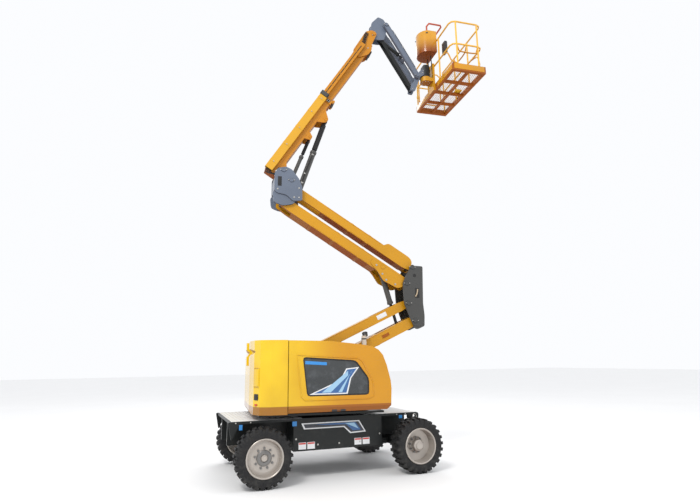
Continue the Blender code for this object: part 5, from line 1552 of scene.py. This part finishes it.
# ---------------------------------------------------------------- boom
@dataclass
class Boom:
    """The boom's straps, pads, rollers, hoses and welds."""

    base_y: float = 0.13
    trough_out: float = 0.207
    trough: tuple[float, float] = (0.165, 0.315)
    fly_y: float = 0.105

    def trough_straps(self) -> None:
        """Straps that hold the cable trough, with their bolts."""
        straps, bolts = [], []
        out, (low, high) = self.trough_out, self.trough
        for x in (0.02, 0.45, 0.88, 1.31, 1.66):
            straps.append(Bench.block((x, x + 0.04), (-out - 0.003, -out + 0.001),
                                      (low - 0.003, high + 0.003), 0.001))
            straps.append(Bench.block((x, x + 0.04), (-out, -self.base_y), (high, high + 0.003), 0.001))
            straps.append(Bench.block((x, x + 0.04), (-out, -self.base_y), (low - 0.003, low), 0.001))
            bolts.append(bolt((x + 0.02, -out - 0.003, (low + high) / 2), (0, -1, 0), 0.009, 0.006))
        Bench.settle("trough_straps", "boom", Finish.PALE_YELLOW, BOOM, *straps)
        Bench.settle("trough_bolts", "boom", Finish.ZINC, BOOM, *bolts)

    def collar(self) -> None:
        """Wear pads, their bolts and the roller at the base tube's mouth."""
        pads, bolts = [], []
        for side in (-1, 1):
            y = span(side, 0.142, 0.150)
            pads.append(Bench.block((1.735, 1.795), y, (0.08, 0.15), 0.003))
            bolts += [bolt((x, side * 0.150, z), (0, side, 0), 0.008, 0.006) for x in (1.75, 1.78)
                      for z in (0.095, 0.135)]
        for y in (-0.07, 0.0, 0.07):
            pads.append(Bench.block((1.735, 1.795), (y - 0.022, y + 0.022), (0.312, 0.320), 0.003))
            bolts.append(bolt((1.765, y, 0.320), (0, 0, 1), 0.008, 0.006))
        Bench.settle("mouth_pads", "boom", Finish.BLACK, BOOM, *pads)
        Bench.settle("mouth_bolts", "boom", Finish.ZINC, BOOM, *bolts)
        roller = Bench.turned([(0.010, -0.10), (0.028, -0.10), (0.030, -0.09), (0.030, 0.09), (0.028, 0.10),
                               (0.010, 0.10)], 24)
        roller.data.transform(Matrix.Translation((1.835, 0.0, 0.030)))
        ears = [Bench.plate([(1.78, 0.050), (1.78, 0.010), (1.845, 0.0), (1.865, 0.03), (1.84, 0.055)],
                            *sorted((s * 0.112, s * 0.124)), "XZ", 0.002)
                for s in (-1, 1)]
        Bench.settle("mouth_roller", "boom", Finish.BLACK, BOOM, roller)
        guide = [
            Bench.block((1.765, 1.85), (-0.222, -0.200), (0.160, 0.325), 0.006),
            Bench.block((1.765, 1.85), (-0.222, -0.128), (0.302, 0.325), 0.006),
            Bench.block((1.765, 1.85), (-0.222, -0.145), (0.160, 0.182), 0.006),
        ]
        Bench.settle("carrier_guide", "boom", Finish.GREY, BOOM, *guide)
        Bench.settle("roller_ears", "boom", Finish.BOOM_ORANGE, BOOM, *ears)

    def rear(self) -> None:
        """The rear end plate, the hoses that loop into the trough, and their link."""
        cover = Bench.block((-0.142, -0.1305), (-0.128, 0.128), (0.060, 0.296), 0.004)
        Bench.settle("boom_rear_cover", "boom", Finish.DEEP_ORANGE, BOOM, cover)
        bolts = [bolt((-0.142, y, z), (-1, 0, 0), 0.009, 0.006) for y in (-0.10, 0.10) for z in (0.085, 0.27)]
        Bench.settle("boom_rear_bolts", "boom", Finish.ZINC, BOOM, *bolts)
        hoses = []
        for i in range(4):
            z, spread = 0.185 + 0.028 * i, 0.012 * i
            hoses.append(Bench.hose([(-0.112, -0.170, z), (-0.130, -0.171, z),
                                     (-0.155 - spread, -0.174, z - 0.015),
                                     (-0.165 - spread, -0.176, z - 0.05), (-0.135, -0.176, 0.100 - spread),
                                     (-0.06, -0.160, 0.095 - spread), (0.02, -0.138, 0.105 - spread)], 0.010))
        Bench.settle("boom_rear_hoses", "boom", Finish.HOSE, BOOM, *hoses)
        clip = Bench.block((-0.09, -0.05), (-0.176, -0.1305), (0.050, 0.115), 0.004)
        Bench.settle("boom_hose_clip", "boom", Finish.ZINC, BOOM, clip)

    def sides(self) -> None:
        """Weld beads and gusset pin caps on the base tube."""
        for end, side in ENDS:
            beads = [Bench.hose([(-0.10, side * self.base_y, level), (1.70, side * self.base_y, level)],
                                0.0026, False)
                     for level in (0.068, 0.150)]
            Bench.settle(f"boom_welds_{end}", "boom", Finish.BOOM_ORANGE, BOOM, *beads)
        caps = []
        for x, z, r in ((1.411, -0.061, 0.036), (0.907, -0.018, 0.026)):
            caps += [Bench.drum((x, s * 0.1285, z), (x, s * 0.138, z), r, 24, 0.002, (r * 0.35, 0.003))
                     for s in (-1, 1)]
        Bench.settle("gusset_pin_caps", "boom", Finish.BOOM_ORANGE, BOOM, *caps)

    def fly(self) -> None:
        """The fly's carrier hoses, weld beads, and the head's bolts and rollers."""
        hoses = [Bench.hose([(3.05, -0.172, z), (3.24, -0.172, z), (3.36, -0.160, z + 0.015),
                             (3.50, -0.150, z + 0.06), (3.60, -0.146, z + 0.075)], 0.010)
                 for z in (0.215, 0.243, 0.270)]
        Bench.settle("fly_hoses", "fly", Finish.HOSE, BOOM, *hoses)
        ribs = [Bench.block((x, x + 0.012), (-0.197, -0.1935), (0.187, 0.298), 0.001)
                for x in [0.95 + 0.16 * i for i in range(14)]]
        Bench.settle("carrier_ribs", "fly", Finish.BOOM_ORANGE, BOOM, *ribs)
        strip = Bench.block((0.93, 3.22), (-0.1968, -0.1938), (0.236, 0.252), 0.001)
        Bench.settle("carrier_line", "fly", Finish.HOSE, BOOM, strip)
        beads = [Bench.hose([(1.30, s * self.fly_y, z), (3.00, s * self.fly_y, z)], 0.0024, False)
                 for s in (-1, 1) for z in (0.088, 0.267)]
        Bench.settle("fly_welds", "fly", Finish.BOOM_ORANGE, BOOM, *beads)
        bolts = []
        for side in (-1, 1):
            bolts += [bolt((x, side * 0.127, z), (0, side, 0), 0.011, 0.008) for x,
                      z in ((3.10, 0.20), (3.18, 0.28), (3.32, 0.12), (3.45, 0.30), (3.30, 0.24))]
        Bench.settle("head_bolts", "fly", Finish.ZINC, BOOM, *bolts)
        rollers = [Bench.drum((x, -0.10, 0.03), (x, 0.10, 0.03), 0.022, 20, 0.003) for x in (3.24, 3.31)]
        Bench.settle("head_rollers", "fly", Finish.BLACK, BOOM, *rollers)
        pin_caps("head_pin_caps", "fly", BOOM, [(3.694, 0.205)], 0.130, 0.040, Finish.BOOM_ORANGE)

    def build(self) -> None:
        """Builds the boom's small pieces."""
        self.trough_straps()
        self.collar()
        self.rear()
        self.sides()
        self.fly()


# ---------------------------------------------------------------- jib
@dataclass
class Jib:
    """The jib's caps, hoses and clamps."""

    length: float = 1.257
    out: float = 0.16

    def build(self) -> None:
        """Builds the jib's small pieces."""
        pin_caps("jib_root_caps", "jib_knuckle", JIB_KNUCKLE, [(0.273, 0.232)], 0.166, 0.034,
                 Finish.BLUE_GREY)
        pin_caps("jib_tip_caps", "jib_end", JIB_END, [(0.0, 0.0)], 0.166, 0.034, Finish.BLUE_GREY)
        hoses, clamps = [], []
        for side in (-1, 1):
            for k in range(2):
                y = side * (0.118 + 0.026 * k)
                hoses.append(Bench.hose([(0.16, y, 0.066), (0.40, y, 0.070), (0.75, y, 0.068),
                                         (1.08, y, 0.066)], 0.010))
            for x in (0.24, 0.56, 0.94):
                clamps.append(Bench.block((x, x + 0.03), span(side, 0.100, 0.158), (0.0555, 0.083), 0.003))
        Bench.settle("jib_hoses", "jib_arm", Finish.HOSE, JIB_ARM, *hoses)
        Bench.settle("jib_hose_clamps", "jib_arm", Finish.ZINC, JIB_ARM, *clamps)
        beads = [Bench.hose([(0.05, s * y, z), (self.length - 0.05, s * y, z)], 0.0022, False)
                 for s in (-1, 1) for y in (0.1605,) for z in (-0.04, 0.04)]
        Bench.settle("jib_welds", "jib_arm", Finish.BLUE_GREY, JIB_ARM, *beads)
        bolts = [bolt((x, s * 0.0905, z), (0, s, 0), 0.009, 0.007) for s in (-1, 1) for x,
                 z in ((0.14, 0.12), (0.16, 0.17), (-0.09, -0.28))]
        Bench.settle("jib_end_bolts", "jib_end", Finish.ZINC, JIB_END, *bolts)


# ---------------------------------------------------------------- platform
@dataclass
class Platform:
    """The work platform's floor mesh, rail loops, guards and controls."""

    x0: float = 0.175
    x1: float = 0.895
    half: float = 0.915
    low: float = -0.255
    rail: float = 0.017
    inset: float = 0.028

    def floor(self) -> None:
        """An open expanded-metal floor on the frame, and the trim round its edge."""
        top = self.low + 0.061
        wires = []
        pitch = 0.052
        spans = (self.x0 + 0.012, self.x1 - 0.012), (-self.half + 0.012, self.half - 0.012)
        (xa, xb), (ya, yb) = spans
        reach = xb - xa
        count = int((yb - ya + reach) / pitch)
        for i in range(count):
            start = ya - reach + i * pitch
            for lean in (1, -1):
                a, b = start, start + reach
                lo, hi = max(a, ya), min(b, yb)
                if hi - lo < 0.02:
                    continue
                ends = [(xa + (v - a), v) if lean > 0 else (xb - (v - a), v) for v in (lo, hi)]
                wires.append([(x, y, top + (0.0016 if lean > 0 else 0.0036)) for x, y in ends])
        mesh = [Bench.hose(wire, 0.0022, False, False, 0) for wire in wires]
        Bench.settle("floor_mesh", "platform", Finish.ORANGE, PLATFORM, *mesh)
        trim = Bench.hose([(xa, ya, top + 0.003), (xb, ya, top + 0.003), (xb, yb, top + 0.003),
                           (xa, yb, top + 0.003)], 0.004, False, True)
        Bench.settle("floor_trim", "platform", Finish.DEEP_ORANGE, PLATFORM, trim)

    def boards(self) -> None:
        """Yellow boards outside the toe boards."""
        z = (self.low + 0.03, self.low + 0.145)
        boards = [
            Bench.block((self.x0 + 0.03, self.x1 - 0.03), (-self.half - 0.004, -self.half - SEAT), z, 0.001),
            Bench.block((self.x1 + SEAT, self.x1 + 0.004), (-self.half + 0.04, self.half - 0.04), z, 0.001),
            Bench.block((self.x0 - 0.004, self.x0 - SEAT), (-self.half + 0.03, -0.20), z, 0.001),
            Bench.block((self.x0 - 0.004, self.x0 - SEAT), (0.20, self.half - 0.03), z, 0.001),
        ]
        Bench.settle("toe_boards", "platform", Finish.COVER, PLATFORM, *boards, slot="orange")

    def rails(self) -> None:
        """Diagonal braces, rail loops at the near end, and their base plates."""
        a, b, n = self.x0 + self.inset, self.x1 - self.inset, -self.half + self.inset
        top, mid, foot = self.low + 1.10, self.low + 0.60, self.low + 0.064
        r = self.rail * 0.82
        loops = [
            [(a + 0.10, n, mid), (a + 0.13, n, mid - 0.10), (a + 0.18, n, mid - 0.16),
             (b - 0.18, n, mid - 0.16), (b - 0.13, n, mid - 0.10), (b - 0.10, n, mid)],
            [(b, -0.30, top), (b, -0.24, top - 0.12), (b, -0.14, top - 0.18), (b, 0.14, top - 0.18),
             (b, 0.24, top - 0.12), (b, 0.30, top)],
            [(a + 0.10, n, foot + 0.10), (a + 0.02, n + 0.10, foot + 0.22), (a, n + 0.22, mid - 0.08),
             (a, -0.42, mid)],
            [(b - 0.10, n, foot + 0.10), (b - 0.02, n + 0.10, foot + 0.22), (b, n + 0.22, mid - 0.08),
             (b, -0.42, mid)],
        ]
        Bench.settle("rail_loops", "platform", Finish.COVER, PLATFORM,
                     *[Bench.hose(loop, r, True, False, 3) for loop in loops], slot="orange")
        plates, bolts = [], []
        for x, y in ((a, -0.30), (b, -0.30), (a, 0.30), (b, 0.30)):
            plates.append(Bench.block((x - 0.021, x + 0.021), (y - 0.04, y + 0.04),
                                      (foot - 0.0015, foot + 0.006), 0.001))
            bolts += [bolt((x, y + s * 0.029, foot + 0.006), (0, 0, 1), 0.007, 0.005) for s in (-1, 1)]
        Bench.settle("post_plates", "platform", Finish.ORANGE, PLATFORM, *plates)
        Bench.settle("post_bolts", "platform", Finish.ZINC, PLATFORM, *bolts)

    def crush_guard(self) -> None:
        """The red bar over the controls, with its two legs and their feet."""
        z, near, far = self.low + RAIL_TOP + 0.375, -0.23, 0.16
        foot = self.low + RAIL_TOP + 0.13
        line = [(-0.02, near, foot), (-0.02, near, z - 0.08), (0.04, near, z), (0.30, near, z),
                (0.34, near + 0.05, z),
                (0.34, far - 0.05, z), (0.30, far, z), (0.04, far, z), (-0.02, far, z - 0.08),
                (-0.02, far, foot)]
        bar = Bench.hose(line, 0.018, False, False, 4)
        Bench.settle("crush_guard", "platform", Finish.RED_SLEEVE, PLATFORM, bar)
        feet = [Bench.drum((-0.02, y, foot - 0.01), (-0.02, y, foot + 0.015), 0.030, 20, 0.003)
                for y in (near, far)]
        Bench.settle("crush_guard_feet", "platform", Finish.BLACK, PLATFORM, *feet)

    def controls(self) -> None:
        """The console's face with its sticks, switches and screen, and the box beside it."""
        back, front, near, far = self.x0 - 0.345, self.x0 + 0.008, -0.262, 0.192
        bow = [math.radians(a) for a in range(90, 271, 15)]
        half = (far - near) / 2
        plan = [(back + 0.21 + 0.21 * math.cos(a), near + half + half * math.sin(a)) for a in bow]
        housing = Bench.plate([*plan, (front, near), (front, far)], self.low + 0.80, self.low + 1.292, "XY",
                              0.0)
        Bench.rounded(housing, 0.022, 3)
        Bench.settle("console_housing", "platform", Finish.CONSOLE, PLATFORM, housing)
        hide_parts("control_console")
        edge = self.x0 - 0.012
        z = self.low + 1.225
        face = Bench.block((-0.13, edge - 0.04), (-0.16, 0.16), (z + 0.035, z + 0.043), 0.004)
        Bench.settle("console_face", "platform", Finish.BLACK, PLATFORM, face)
        items = []
        top = z + 0.043
        for y in (-0.11, 0.11):
            items.append(Bench.turned([(0.0, 0.0), (0.024, 0.0), (0.020, 0.010), (0.012, 0.018),
                                       (0.007, 0.024), (0.007, 0.030), (0.0, 0.031)], 20))
            items[-1].data.transform(Matrix.Translation((0.03, y, top)) @ Matrix.Rotation(math.radians(90), 4,
                    "X"))
        for i in range(5):
            y = -0.06 + 0.03 * i
            items.append(Bench.drum((0.06, y, top), (0.063, y, top + 0.012), 0.005, 10, 0.001))
            items.append(Bench.drum((0.06, y, top), (0.06, y, top + 0.003), 0.009, 14))
        Bench.settle("console_sticks", "platform", Finish.SEAL, PLATFORM, *items)
        stop = Bench.drum((-0.07, 0.11, top), (-0.07, 0.11, top + 0.018), 0.018, 24, 0.003)
        Bench.settle("console_stop", "platform", Finish.RED_FILM, PLATFORM, stop)
        screen = Bench.block((-0.10, -0.03), (-0.06, 0.05), (top, top + 0.003), 0.001)
        Bench.settle("console_screen", "platform", Finish.PANE, PLATFORM, screen)
        box = Bench.block((0.21, 0.27), (-0.56, -0.42), (self.low + 0.62, self.low + 0.88), 0.012)
        lid = Bench.block((0.268, 0.276), (-0.55, -0.43), (self.low + 0.63, self.low + 0.87), 0.004)
        Bench.settle("socket_box", "platform", Finish.BLACK, PLATFORM, box, lid)
        pedal = Bench.block((self.x1 - 0.24, self.x1 - 0.10), (-0.10, 0.02),
                            (self.low + 0.068, self.low + 0.10), 0.010)
        tongue = Bench.block((self.x1 - 0.22, self.x1 - 0.12), (-0.085, 0.005),
                             (self.low + 0.10, self.low + 0.112), 0.004)
        Bench.settle("foot_pedal", "platform", Finish.YELLOW_FILM, PLATFORM, pedal)
        Bench.settle("foot_pedal_tongue", "platform", Finish.BLACK, PLATFORM, tongue)

    def hoses(self) -> None:
        """Hoses and cable from the yoke to the console, and the rotator's bolts."""
        lines = [
            [(0.10, -0.06, -0.035), (0.135, -0.075, 0.10), (0.125, -0.08, 0.35), (0.10, -0.10, 0.62),
             (0.09, -0.11, 0.80)],
            [(0.10, 0.06, -0.035), (0.14, 0.07, 0.12), (0.12, 0.06, 0.36), (0.09, 0.04, 0.60),
             (0.08, 0.02, 0.78)],
        ]
        Bench.settle("console_hoses", "platform", Finish.HOSE, PLATFORM,
                     *[Bench.hose(line, 0.011) for line in lines])
        head = bolt((0.0, 0.0, 0.0), (0, 0, -1), 0.008, 0.006)
        turns = [math.radians(45.0 * i + 22.5) for i in range(8)]
        places = [Matrix.Translation((0.085 * math.cos(t), 0.085 * math.sin(t), -0.0565)) for t in turns]
        Bench.settle("rotator_bolts", "platform", Finish.ZINC, PLATFORM, Bench.copies(head, places))

    def build(self) -> None:
        """Builds the platform's small pieces."""
        self.floor()
        self.boards()
        self.rails()
        self.crush_guard()
        self.controls()
        self.hoses()


def main() -> None:
    """Dresses the machine and builds its small pieces."""
    logging.basicConfig(level=logging.INFO, format="%(message)s")
    Studio().build()
    dress_nodes()
    for kind in ("steer", "drive"):
        for end in ("near", "far"):
            Wheel(kind, end).build()
    Chassis().build()
    Turret().build()
    Risers().build()
    Cylinder("tower", 0.05, 0.70, 0.028, 1).build()
    Cylinder("lift", 0.055, 1.02, 0.032, -1, 0.052, 1.64, 0.32).build()
    Cylinder("level", 0.035, 0.62, 0.018, 1, 0.033, 0.95).build()
    Cylinder("jib", 0.034, 0.50, 0.018, 0, finish=Finish.CHARCOAL).build()
    Boom().build()
    Jib().build()
    Platform().build()


if __name__ == "__main__":
    main()
